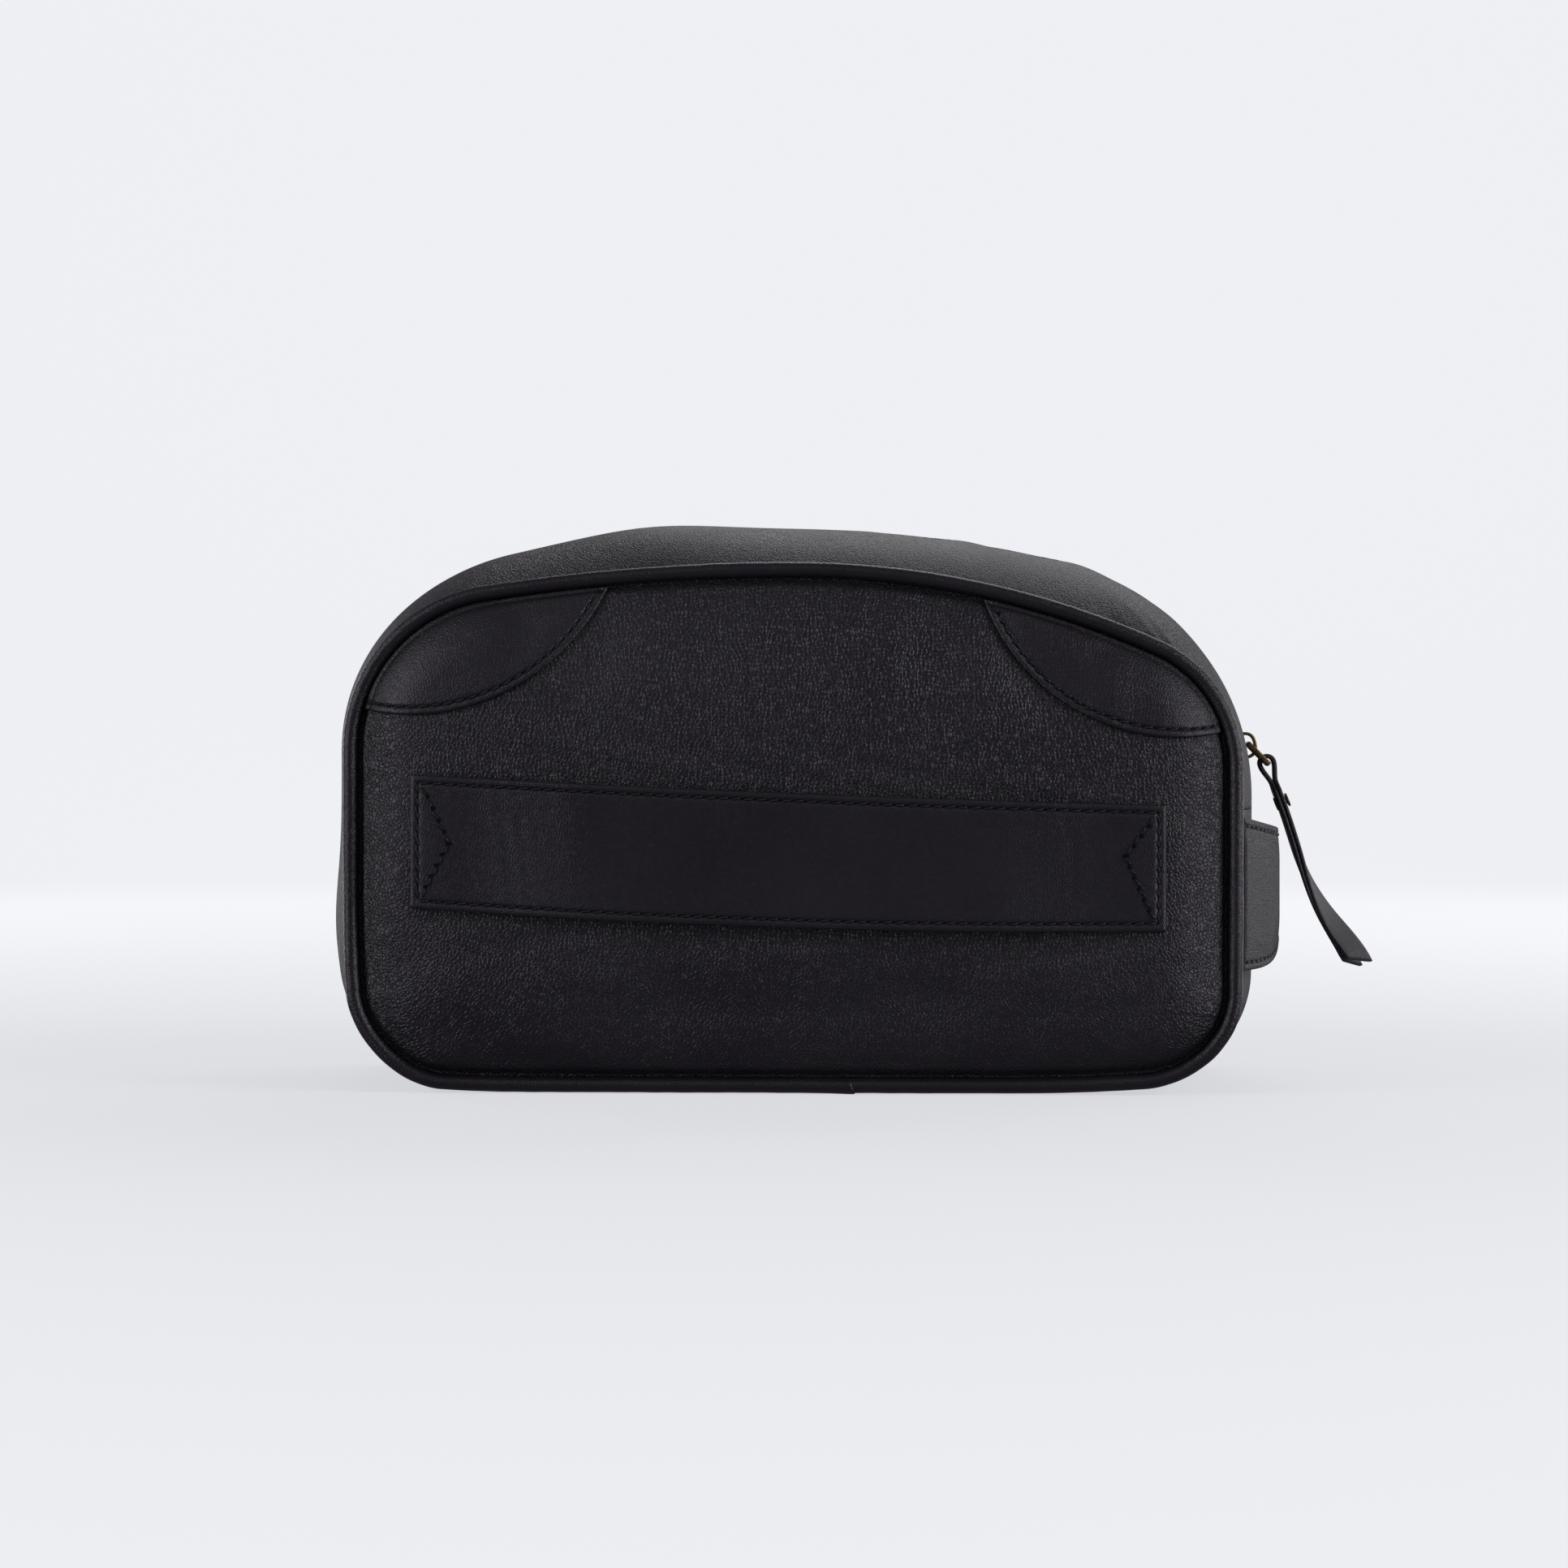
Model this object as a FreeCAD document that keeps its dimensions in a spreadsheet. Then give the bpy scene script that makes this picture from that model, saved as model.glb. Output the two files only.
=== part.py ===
import FreeCAD, Part
import math
import os

import Sketcher
from FreeCAD import Placement, Rotation, Vector

# A soft leather wash bag with a D-shaped front, in millimetres.
# X is the width, -Y is the front, +Z is up, and the origin is the middle of the base on the floor.

SIZES = [
    # The outline of the front and back seams, measured to the middle of the piping.
    ("seam_half_width", 132.7, "middle of the bag to the side seams"),
    ("seam_top", 157.1, "floor to the top seam"),
    ("seam_dome_left", 617.7, "radius of the top, left of the middle"),
    ("seam_dome_right", 267.7, "radius of the top, right of the middle"),
    ("seam_shoulder_left", 47.7, "radius of the left shoulder"),
    ("seam_shoulder_right", 39.7, "radius of the right shoulder"),
    ("seam_corner", 27.7, "radius of both bottom corners"),
    ("seam_bottom", 2.6, "floor to the bottom seams"),
    # The same outline at mid-depth, where the gusset stands furthest out.
    ("side_bulge", 7.5, "how far the gusset stands out of its side seams"),
    ("top_bulge", 13.9, "how far the crest, along the zip, stands above the top seams"),
    ("crest_dome_left", 537.0, "radius of the crest, left of the middle"),
    ("crest_dome_right", 345.0, "radius of the crest, right of the middle"),
    ("crest_shoulder_left", 62.0, "radius of the crest's left shoulder"),
    ("crest_shoulder_right", 75.0, "radius of the crest's right shoulder"),
    # Depth and materials.
    ("seam_depth", 55.0, "mid-depth to each piping"),
    ("flat_half_depth", 13.4, "half of the level band along the zip"),
    ("leather", 1.8, "thickness of the body leather"),
    ("lining", 0.8, "thickness of the lining"),
    ("piping_radius", 2.3, "outside radius of the piping"),
    ("piping_cover", 0.8, "leather round the piping cord"),
    ("seam_clearance", 0.1, "piping to the panels and the gusset"),
    ("panel_lap", 0.4, "middle of the seam back to a panel's edge"),
    ("pillow_depth", 6.0, "how far a panel stands out of its seam"),
    ("pillow_shoulder", 3.6, "how far it stands out near the seam"),
    ("pillow_inset", 20.0, "seam to the flat of a panel"),
    ("pillow_shoulder_inset", 8.0, "seam to the first bend of a panel"),
    # Corner patches.
    ("patch_leather", 1.4, "thickness of a corner patch"),
    ("patch_left_radius", 64.0, "round edge of the left patch"),
    ("patch_left_inset", 19.2, "side seam to the centre of that edge"),
    ("patch_left_rise", 20.5, "top seam to the centre of that edge"),
    ("patch_right_radius", 61.0, "round edge of the right patch"),
    ("patch_right_inset", 17.6, "side seam to the centre of that edge"),
    ("patch_right_rise", 10.7, "top seam to the centre of that edge"),
    # The fold that the mouth opens on.
    ("fold_rise", 11.99, "start of the crest's right shoulder up to the fold, at the panels"),
    ("fold_slope", 17.0, "degrees that the fold rises towards the zip"),
    ("fold_gap", 0.4, "gap between the pieces on each side of the fold"),
    ("fold_ahead", 0.4, "flat of a panel to the line that it folds on"),
    # Zip.
    ("zip_drop", 3.0, "start of the crest's right shoulder down to both ends of the zip"),
    ("slot_half_width", 6.0, "middle of the zip to the leather's edge"),
    ("tape_half_width", 13.0, "middle of the zip to the tape's outer edge"),
    ("tape_thickness", 0.6, "woven tape"),
    ("tape_gap", 0.05, "tape's inner edge to the teeth"),
    ("tape_below_end", 2.0, "how far the tape goes on below the zip's ends"),
    ("tooth_pitch", 3.0, "tooth to tooth along the tape"),
    ("tooth_length", 1.6, "one tooth, along the tape"),
    ("tooth_inner", 0.9, "middle of the zip to a tooth's tip"),
    ("tooth_outer", 2.9, "middle of the zip to a tooth's root"),
    ("tooth_height", 2.4, "one tooth, through the tape"),
    ("stop_length", 2.2, "one end stop, along the zip"),
    ("stop_height", 1.2, "one end stop, through the tape"),
    # Slider, puller and leather pull.
    ("slider_angle", 12.3, "degrees that the slider rests up the right shoulder"),
    ("slider_length", 12.0, "slider, along the zip"),
    ("slider_width", 9.6, "slider, across the zip"),
    ("slider_plate", 1.3, "each plate of the slider"),
    ("slider_clearance", 0.3, "slider's plates to the teeth"),
    ("wedge_width", 1.2, "wedge between the slider's plates"),
    ("wedge_length", 3.5, "wedge, along the zip"),
    ("wedge_sink", 0.2, "how deep the wedge runs into both plates"),
    ("bail_width", 2.2, "bail, across the zip"),
    ("bail_length", 8.4, "bail, along the zip"),
    ("bail_bar", 1.0, "thickness of the bail"),
    ("bail_sink", 0.05, "how deep the bail's feet sit in the curved slider"),
    ("bail_clearance", 0.37, "corners of the puller's bar to the slider and the bail"),
    ("puller_bar", 1.6, "thickness of the puller and of its cross bars"),
    ("puller_width", 8.6, "puller, across"),
    ("puller_side", 1.3, "width of each side of the puller"),
    ("puller_window", 6.4, "clear length between the puller's cross bars"),
    ("puller_angle", 45.0, "degrees that the puller points below level"),
    ("pull_leather", 3.0, "both layers of the leather pull"),
    ("eye_clearance", 0.37, "corners of the puller's bar to the pull's eye"),
    ("neck_clearance", 0.6, "each side of the puller to the pull"),
    ("pull_neck_length", 8.0, "puller's bar to the pull's full width"),
    ("pull_width", 10.0, "full width of the pull"),
    ("pull_length", 72.0, "puller's bar to the end of the pull"),
    ("pull_angle", 70.0, "degrees that the pull points below level"),
    ("pull_bend", 355.0, "radius that the pull curves on"),
    ("rivet_radius", 1.2, "shank of the pull's rivet"),
    ("rivet_head", 2.2, "radius of the rivet's heads"),
    ("rivet_head_height", 0.7, "thickness of the rivet's heads"),
    ("rivet_place", 13.0, "puller's bar to the rivet"),
    # Hand strap on the front.
    ("strap_margin", 0.7, "each end of the strap to the edge of the panel's flat"),
    ("strap_width", 39.0, "strap, edge to edge"),
    ("strap_leather", 1.5, "one layer of the strap"),
    ("strap_foot", 14.0, "end of the strap that is sewn down"),
    ("strap_ramp", 26.0, "stretch over which the strap rises"),
    ("strap_rise", 5.6, "gap behind the middle of the strap"),
    ("strap_below_fold", 28.2, "fold down to the middle of the strap"),
    ("strap_tilt", 1.97, "degrees that the strap drops to the right"),
    # Side handle.
    ("handle_standoff", 9.8, "side of the gusset to the outside of the handle"),
    ("handle_leather", 1.5, "one layer of the handle"),
    ("handle_drop", 2.0, "zip's end down to the handle's top, at the seams"),
    ("handle_width", 46.0, "handle, top to bottom, at the seams"),
    ("handle_waist_drop", 4.0, "how much lower its top is at mid-depth"),
    ("handle_waist_rise", 9.5, "how much higher its bottom is at mid-depth"),
]

doc = FreeCAD.newDocument("wash_bag")
sheet = doc.addObject("Spreadsheet::Sheet", "Sizes")
for row, (alias, value, note) in enumerate(SIZES, start=1):
    sheet.set(f"A{row}", alias)
    sheet.set(f"B{row}", str(value))
    sheet.set(f"C{row}", note)
    sheet.setAlias(f"B{row}", alias)
doc.recompute()

NODES = []
FAR = 400.0
PULLER_HOLE_DEPTH = 20.0


def size(alias):
    """One driving size, read from the sheet."""
    return float(sheet.get(alias))


def keep(thing, label):
    """Names a finished object and lists it as one of the bag's pieces."""
    thing.Label = label
    NODES.append(thing)
    return thing


def soft(label, shape, place=Placement()):
    """A finished piece whose shape is worked out below."""
    thing = doc.addObject("Part::Feature", label)
    thing.Shape = shape
    thing.Placement = place
    return keep(thing, label)


def mirrored(shape):
    """The same shape on the other side of mid-depth."""
    return shape.mirror(Vector(0, 0, 0), Vector(0, 1, 0))


# ---------------------------------------------------------------- outlines

def outline_sizes(bulge):
    """The outline's sizes, from the seam (bulge 0) to the crest (bulge 1)."""
    sizes = {
        "half_width": size("seam_half_width") + bulge * size("side_bulge"),
        "top": size("seam_top") + bulge * size("top_bulge"),
        "corner": size("seam_corner") + bulge * size("side_bulge"),
    }
    for key in ("dome_left", "dome_right", "shoulder_left", "shoulder_right"):
        seam = size("seam_" + key)
        sizes[key] = seam + bulge * (size("crest_" + key) - seam)
    # The base is level over most of the depth, and only rises to its seams at the edges.
    sizes["bottom"] = size("seam_bottom") * (1.0 - min(1.0, 2.0 * bulge))
    return sizes


def arc(centre, radius, start, end, depth):
    """An arc in an upright plane across the bag, from one angle to another, in degrees from +X."""
    points = []
    for angle in (start, 0.5 * (start + end), end):
        turn = math.radians(angle)
        points.append(Vector(centre[0] + radius * math.cos(turn), depth, centre[1] + radius * math.sin(turn)))
    return Part.Arc(*points).toShape()


def shoulder(sizes, side, inset):
    """Centre and radii of one shoulder, and the angle at which it meets the dome."""
    name = "right" if side > 0 else "left"
    radius = sizes["shoulder_" + name] - inset
    dome = sizes["dome_" + name] - inset
    across = sizes["half_width"] - inset - radius
    dome_centre = sizes["top"] - inset - dome
    up = math.sqrt((dome - radius) ** 2 - across ** 2)
    return {
        "centre": (side * across, dome_centre + up),
        "radius": radius,
        "dome": dome,
        "dome_centre": (0.0, dome_centre),
        "angle": math.degrees(math.atan2(up, across)),
    }


def outline_edges(bulge, inset, depth):
    """The D: base, corners, sides, shoulders and dome, all tangent, moved inwards by the inset."""
    sizes = outline_sizes(bulge)
    half = sizes["half_width"] - inset
    corner = sizes["corner"] - inset
    floor = sizes["bottom"] + inset
    right = shoulder(sizes, 1, inset)
    left = shoulder(sizes, -1, inset)
    low = floor + corner

    def line(start, end):
        return Part.makeLine(Vector(start[0], depth, start[1]), Vector(end[0], depth, end[1]))

    return [
        line((corner - half, floor), (half - corner, floor)),
        arc((half - corner, low), corner, -90, 0, depth),
        line((half, low), (half, right["centre"][1])),
        arc(right["centre"], right["radius"], 0, right["angle"], depth),
        arc(right["dome_centre"], right["dome"], right["angle"], 90, depth),
        arc(left["dome_centre"], left["dome"], 90, 180 - left["angle"], depth),
        arc(left["centre"], left["radius"], 180 - left["angle"], 180, depth),
        line((-half, left["centre"][1]), (-half, low)),
        arc((corner - half, low), corner, 180, 270, depth),
    ]


def outline(bulge, inset, depth):
    """The closed outline as one wire."""
    return Part.Wire(outline_edges(bulge, inset, depth))


def block(sections):
    """A solid through several outlines."""
    return Part.makeLoft(sections, True, True)


SLIDER_TRACK = shoulder(outline_sizes(1.0), 1, 0.0)
ZIP_END = SLIDER_TRACK["centre"][1] - size("zip_drop")
FOLD_HEIGHT = SLIDER_TRACK["centre"][1] + size("fold_rise")


# ---------------------------------------------------------------- shells

GUSSET_DEPTH = size("seam_depth") - size("piping_radius") - size("seam_clearance")
BULGE_STEPS = ((0.0, 0.0), (0.33, 0.55), (0.66, 0.87), (1.0, 1.0))


def gusset_block(inset, half_depth):
    """The volume inside the gusset, to one inset: level along the zip, falling to both seams."""
    level = size("flat_half_depth")
    sections = []
    for way, bulge in BULGE_STEPS:
        depth = GUSSET_DEPTH + way * (level - GUSSET_DEPTH)
        sections.append((-depth, bulge))
    sections += [(-depth, bulge) for depth, bulge in reversed(sections)]
    solid = block([outline(bulge, inset, depth) for depth, bulge in sections])
    if half_depth < GUSSET_DEPTH:
        solid = solid.common(Part.makeBox(2 * FAR, 2 * half_depth, 2 * FAR, Vector(-FAR, -half_depth, -FAR)))
    return solid


def gusset_skin(outer_inset, thickness, half_depth):
    """A shell of one layer round the bag, open at the front and back."""
    outer = gusset_block(outer_inset, half_depth)
    inner = gusset_block(outer_inset + thickness, GUSSET_DEPTH)
    return outer.cut(inner)


PANEL_BACK = size("seam_depth") - size("panel_lap")


def pillow(shift):
    """A panel's volume: it stands out of its seam in two slopes to a flat front."""
    seam = size("piping_radius") + size("seam_clearance")
    steps = (
        (seam, 0.0),
        (size("pillow_shoulder_inset"), size("pillow_shoulder")),
        (size("pillow_inset"), size("pillow_depth")),
    )
    return block([outline(0.0, inset, -PANEL_BACK - out + shift) for inset, out in steps])


def prism(points):
    """A full-width block whose section, in depth and height, is the polygon."""
    corners = [Vector(-FAR, depth, height) for depth, height in points]
    face = Part.Face(Part.makePolygon(corners + corners[:1]))
    return face.extrude(Vector(2 * FAR, 0, 0))


PANEL_FRONT = PANEL_BACK + size("pillow_depth")
FOLD_DEPTH = PANEL_FRONT + size("fold_ahead")


def fold_height_at(depth, side):
    """Height of the fold's surface, half of its gap above (side 1) or below (side -1) the middle."""
    rise = math.tan(math.radians(size("fold_slope")))
    return FOLD_HEIGHT + (FOLD_DEPTH - abs(depth)) * rise + side * 0.5 * size("fold_gap")


def lip_zone():
    """Everything ahead of the zip and above the front fold."""
    return prism([(-FAR, fold_height_at(FAR, 1)), (0, fold_height_at(0, 1)), (0, FAR), (-FAR, FAR)])


def fixed_zone():
    """Everything below both folds."""
    edge = fold_height_at(FAR, -1)
    ridge = fold_height_at(0, -1)
    return prism([(-FAR, edge), (0, ridge), (FAR, edge), (FAR, edge - FAR), (-FAR, edge - FAR)])


LIP = lip_zone()
FIXED = fixed_zone()


def both_sides(label, shape):
    """A front piece and its twin at the back."""
    soft("front_" + label, shape)
    soft("back_" + label, mirrored(shape))


def split_panel_piece(label, shape):
    """A piece of a panel in two: the part that stays, and the part above the fold."""
    both_sides(label, shape.common(FIXED))
    both_sides(label + "_top", shape.common(LIP))


# ---------------------------------------------------------------- panels and piping


def make_panels():
    """Leather, padding and lining of the front and back."""
    outer = pillow(0.0)
    inner = pillow(size("leather"))
    lining_front = PANEL_BACK - size("leather") - size("seam_clearance")
    split_panel_piece("panel", outer.cut(inner))
    room = Part.makeBox(2 * FAR, FAR, 2 * FAR, Vector(-FAR, -lining_front - FAR, -FAR))
    split_panel_piece("padding", inner.common(room))
    edge = outline(0.0, size("leather") + 2 * size("seam_clearance"), -lining_front)
    split_panel_piece("lining", Part.Face(edge).extrude(Vector(0, size("lining"), 0)))


def make_piping():
    """A leather tube round each seam, and the cord inside it."""
    depth = -size("seam_depth")
    spine = outline(0.0, 0.0, depth)
    start = spine.OrderedVertexes[0].Point

    def sweep(radius):
        circle = Part.Wire(Part.makeCircle(radius, start, Vector(1, 0, 0)))
        return spine.makePipeShell([circle], True, False)

    cord = sweep(size("piping_radius") - size("piping_cover"))
    split_panel_piece("piping", sweep(size("piping_radius")).cut(cord))
    split_panel_piece("piping_cord", cord)


def make_patches():
    """Round-edged reinforcements sewn on the upper corners."""
    layer = pillow(-size("patch_leather")).cut(pillow(0.0))
    for name, side in (("left", -1), ("right", 1)):
        across = size("seam_half_width") - size(f"patch_{name}_inset")
        centre = Vector(side * across, -FAR, size("seam_top") + size(f"patch_{name}_rise"))
        disc = Part.makeCylinder(size(f"patch_{name}_radius"), FAR, centre, Vector(0, 1, 0))
        both_sides(name + "_patch", layer.common(disc))


# ---------------------------------------------------------------- gusset and its lining


def make_gusset():
    """The base gusset, and the two strips that carry the zip over the top."""
    slot = size("slot_half_width")
    slot_box = Part.makeBox(2 * FAR, 2 * slot, FAR, Vector(-FAR, -slot, ZIP_END))
    layers = (
        ("base_gusset", "zip_strip", 0.0, size("leather"), GUSSET_DEPTH),
        ("base_lining", "strip_lining", size("leather") + size("tape_thickness"), size("lining"),
         PANEL_BACK - size("leather") - size("seam_clearance") - size("lining")),
    )
    for base_label, strip_label, inset, thickness, half_depth in layers:
        skin = gusset_skin(inset, thickness, half_depth).cut(slot_box)
        soft(base_label, skin.common(FIXED))
        both_sides(strip_label, skin.common(LIP))


# ---------------------------------------------------------------- zip


def zip_face(inset, depth):
    """The zip's track, at one inset, as a closed outline at one depth."""
    return Part.Face(outline(1.0, inset, depth))


def zip_places():
    """Points and outward directions along the zip, one per tooth, from the right end to the left."""
    edges = outline_edges(1.0, size("leather") + 0.5 * size("tape_thickness"), 0.0)[2:8]
    track = Part.Wire(edges)
    lowest = ZIP_END + size("stop_length") + size("tooth_pitch")
    count = int(track.Length / size("tooth_pitch"))
    points = track.discretize(Number=count + 1)
    places = []
    for before, point, after in zip(points, points[1:], points[2:]):
        along = (after - before).normalize()
        if point.z > lowest:
            places.append((point, Vector(along.z, 0, -along.x)))
    return places


def tooth(point, outward):
    """One tooth of the front row, standing across the tape's edge."""
    length = size("tooth_length")
    height = size("tooth_height")
    width = size("tooth_outer") - size("tooth_inner")
    solid = Part.makeBox(length, width, height, Vector(-0.5 * length, -size("tooth_outer"), -0.5 * height))
    solid.rotate(Vector(0, 0, 0), Vector(0, 1, 0), math.degrees(math.atan2(outward.x, outward.z)))
    solid.translate(Vector(point.x, 0, point.z))
    return solid


def make_zip():
    """Tapes, teeth and end stops."""
    inset = size("leather")
    start = -size("tape_half_width")
    band = size("tape_half_width") - size("tooth_outer") - size("tape_gap")
    solid = zip_face(inset, start).extrude(Vector(0, band, 0))
    solid = solid.cut(zip_face(inset + size("tape_thickness"), start).extrude(Vector(0, band, 0)))
    floor = ZIP_END - size("tape_below_end")
    solid = solid.common(Part.makeBox(2 * FAR, 2 * FAR, FAR, Vector(-FAR, -FAR, floor)))
    both_sides("zip_tape", solid.common(LIP))
    ends = solid.common(FIXED)
    soft("zip_end_tapes", Part.makeCompound(ends.Solids + mirrored(ends).Solids))

    moving = []
    fixed = []
    for point, outward in zip_places():
        one = tooth(point, outward)
        top = one.BoundBox.ZMax
        bottom = one.BoundBox.ZMin
        if bottom > fold_height_at(size("tooth_inner"), 1):
            moving.append(one)
        elif top < fold_height_at(size("tooth_outer"), -1):
            fixed.append(one)
    both_sides("zip_teeth", Part.makeCompound(moving))
    soft("zip_end_teeth", Part.makeCompound(fixed + [mirrored(one) for one in fixed]))

    stops = []
    for side in (-1, 1):
        across = size("seam_half_width") + size("side_bulge") - inset
        low = Vector(side * across, -size("tooth_outer"), ZIP_END)
        height = size("stop_height")
        box = Part.makeBox(height, 2 * size("tooth_outer"), size("stop_length"))
        box.translate(low - Vector(0.5 * height, 0, 0))
        stops.append(box)
    soft("zip_stops", Part.makeCompound(stops))


# ---------------------------------------------------------------- slider, puller and pull


def sector(name, inner, outer, width, middle, length, radius):
    """A curved plate round the track's centre, as the difference of two part cylinders."""
    centre = SLIDER_TRACK["centre"]
    spread = math.degrees(length / radius)
    turn = Rotation(Vector(0, 1, 0), -(middle - 0.5 * spread)).multiply(Rotation(Vector(1, 0, 0), 90))
    place = Placement(Vector(centre[0], 0.5 * width, centre[1]), turn)
    rings = []
    for part, ring_radius in (("outer", outer), ("inner", inner)):
        ring = doc.addObject("Part::Cylinder", f"{name}_{part}")
        ring.Radius = ring_radius
        ring.Height = width
        ring.Angle = spread if part == "outer" else 360.0
        ring.Placement = place
        rings.append(ring)
    cut = doc.addObject("Part::Cut", name)
    cut.Base = rings[0]
    cut.Tool = rings[1]
    return cut


def track_point(along, outward):
    """A point beside the resting slider: along the track upwards, and outwards from its top."""
    centre = SLIDER_TRACK["centre"]
    turn = math.radians(size("slider_angle"))
    out = Vector(math.cos(turn), 0, math.sin(turn))
    up = Vector(-math.sin(turn), 0, math.cos(turn))
    radius = SLIDER_TRACK["radius"] - slider_top() + outward
    return Vector(centre[0], 0, centre[1]) + out * radius + up * along


def slider_top():
    """How far inside the leather's face the slider's top lies. It is negative, because it stands proud."""
    middle = size("leather") + 0.5 * size("tape_thickness")
    return middle - 0.5 * size("tooth_height") - size("slider_clearance") - size("slider_plate")


def make_slider():
    """Two curved plates joined by a wedge, with a bail on top."""
    radius = SLIDER_TRACK["radius"]
    angle = size("slider_angle")
    middle = size("leather") + 0.5 * size("tape_thickness")
    gap = 0.5 * size("tooth_height") + size("slider_clearance")
    width = size("slider_width")
    length = size("slider_length")
    top = sector("slider_top", radius - middle + gap, radius - slider_top(), width, angle, length, radius)
    low = radius - middle - gap
    under = sector("slider_under", low - size("slider_plate"), low, width, angle, length, radius)
    wedge_middle = angle + math.degrees(0.5 * (length - size("wedge_length")) / radius)
    sink = size("wedge_sink")
    wedge = sector("slider_wedge", low - sink, radius - middle + gap + sink, size("wedge_width"),
                   wedge_middle, size("wedge_length"), radius)
    body = doc.addObject("Part::MultiFuse", "slider_body")
    body.Shapes = [top, under, wedge]
    keep(body, "slider_body")

    outside = doc.addObject("Part::Box", "bail_outside")
    inside = doc.addObject("Part::Box", "bail_inside")
    room = "2 * (0.5 * sqrt(2) * Sizes.puller_bar + Sizes.bail_clearance)"
    turn = Rotation(Vector(0, 1, 0), -angle)
    outside.setExpression("Width", "Sizes.bail_width")
    outside.setExpression("Height", "Sizes.bail_length")
    outside.setExpression("Length", f"{room} + Sizes.bail_bar")
    inside.setExpression("Width", "Sizes.bail_width")
    inside.setExpression("Height", "Sizes.bail_length - 2 * Sizes.bail_bar")
    inside.setExpression("Length", room)
    half = Vector(0, -0.5 * size("bail_width"), 0)
    low = -0.5 * size("bail_length")
    outside.Placement = Placement(track_point(low, -size("bail_sink")) + half, turn)
    inside.Placement = Placement(track_point(low + size("bail_bar"), -size("bail_sink")) + half, turn)
    bail = doc.addObject("Part::Cut", "slider_bail")
    bail.Base = outside
    bail.Tool = inside
    keep(bail, "slider_bail")


def plane_of(body, role):
    """One of a body's own origin planes."""
    for feature in body.Origin.OriginFeatures:
        if feature.Role == role:
            return feature
    raise ValueError(role)


def rectangle_sketch(body, name, role, left, right, low, high):
    """A rectangle on an origin plane. Each side's distance from the origin is an expression."""
    sketch = body.newObject("Sketcher::SketchObject", name)
    sketch.AttachmentSupport = [(plane_of(body, role), "")]
    sketch.MapMode = "FlatFace"
    corners = [Vector(-1, -1, 0), Vector(1, -1, 0), Vector(1, 1, 0), Vector(-1, 1, 0)]
    for start, end in zip(corners, corners[1:] + corners[:1]):
        sketch.addGeometry(Part.LineSegment(start, end), False)
    for side in range(4):
        sketch.addConstraint(Sketcher.Constraint("Coincident", side, 2, (side + 1) % 4, 1))
    for side, kind in ((0, "Horizontal"), (1, "Vertical"), (2, "Horizontal"), (3, "Vertical")):
        sketch.addConstraint(Sketcher.Constraint(kind, side))
    places = (("left", "DistanceX", 0, 1, left, -1), ("right", "DistanceX", 1, 1, right, 1),
              ("low", "DistanceY", 0, 1, low, -1), ("high", "DistanceY", 2, 1, high, 1))
    for label, kind, side, end, expression, value in places:
        index = sketch.addConstraint(Sketcher.Constraint(kind, -1, 1, side, end, float(value)))
        sketch.renameConstraint(index, label)
        sketch.setExpression("Constraints." + label, expression)
    return sketch


def pad(body, sketch, name, length, symmetric):
    """A pad of a sketch, with its length as an expression."""
    feature = body.newObject("PartDesign::Pad", name)
    feature.Profile = sketch
    feature.Midplane = symmetric
    feature.setExpression("Length", length)
    return feature


def pocket(body, sketch, name):
    """A hole right through, both ways from the sketch's plane."""
    feature = body.newObject("PartDesign::Pocket", name)
    feature.Profile = sketch
    feature.Midplane = True
    feature.Length = PULLER_HOLE_DEPTH
    return feature


def bar_corner():
    """Middle of a cross bar of the puller to one of its corners."""
    return 0.5 * math.sqrt(2.0) * size("puller_bar")


def puller_axis():
    """The line that the puller turns on."""
    return track_point(0.0, bar_corner() + size("bail_clearance"))


def pull_axis():
    """The bar that the leather pull hangs on."""
    turn = math.radians(size("puller_angle"))
    reach = size("puller_window") + size("puller_bar")
    return puller_axis() + Vector(reach * math.cos(turn), 0, -reach * math.sin(turn))


def make_puller():
    """A flat frame with two windows: one for the bail, one for the leather."""
    body = doc.addObject("PartDesign::Body", "puller")
    bar = "Sizes.puller_bar"
    half = "0.5 * Sizes.puller_width"
    inner = "(0.5 * Sizes.puller_width - Sizes.puller_side)"
    reach = f"(Sizes.puller_window + {bar})"
    whole = rectangle_sketch(body, "puller_outline", "XY_Plane", f"-0.5 * {bar}", f"{reach} + 0.5 * {bar}",
                             f"-{half}", half)
    pad(body, whole, "puller_plate", bar, True)
    doc.recompute()
    window = rectangle_sketch(body, "puller_window", "XY_Plane", f"0.5 * {bar}", f"{reach} - 0.5 * {bar}",
                              f"-{inner}", inner)
    hole = pocket(body, window, "puller_hole")
    doc.recompute()
    half_width = 0.5 * size("puller_width")
    corners = [number for number, edge in enumerate(hole.Shape.Edges, start=1) if upright(edge, half_width)]
    fillet = body.newObject("PartDesign::Fillet", "puller_round")
    fillet.Base = (hole, [f"Edge{number}" for number in corners])
    fillet.setExpression("Radius", "0.45 * Sizes.puller_bar")
    body.Placement = Placement(puller_axis(), Rotation(Vector(0, 1, 0), size("puller_angle")))
    keep(body, "puller")


def upright(edge, half):
    """Whether an edge is one of the plate's four outer corners."""
    start, end = edge.Vertexes[0].Point, edge.Vertexes[-1].Point
    return abs(start.x - end.x) < 1e-6 and abs(start.y - end.y) < 1e-6 and abs(abs(start.y) - half) < 1e-6


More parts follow.
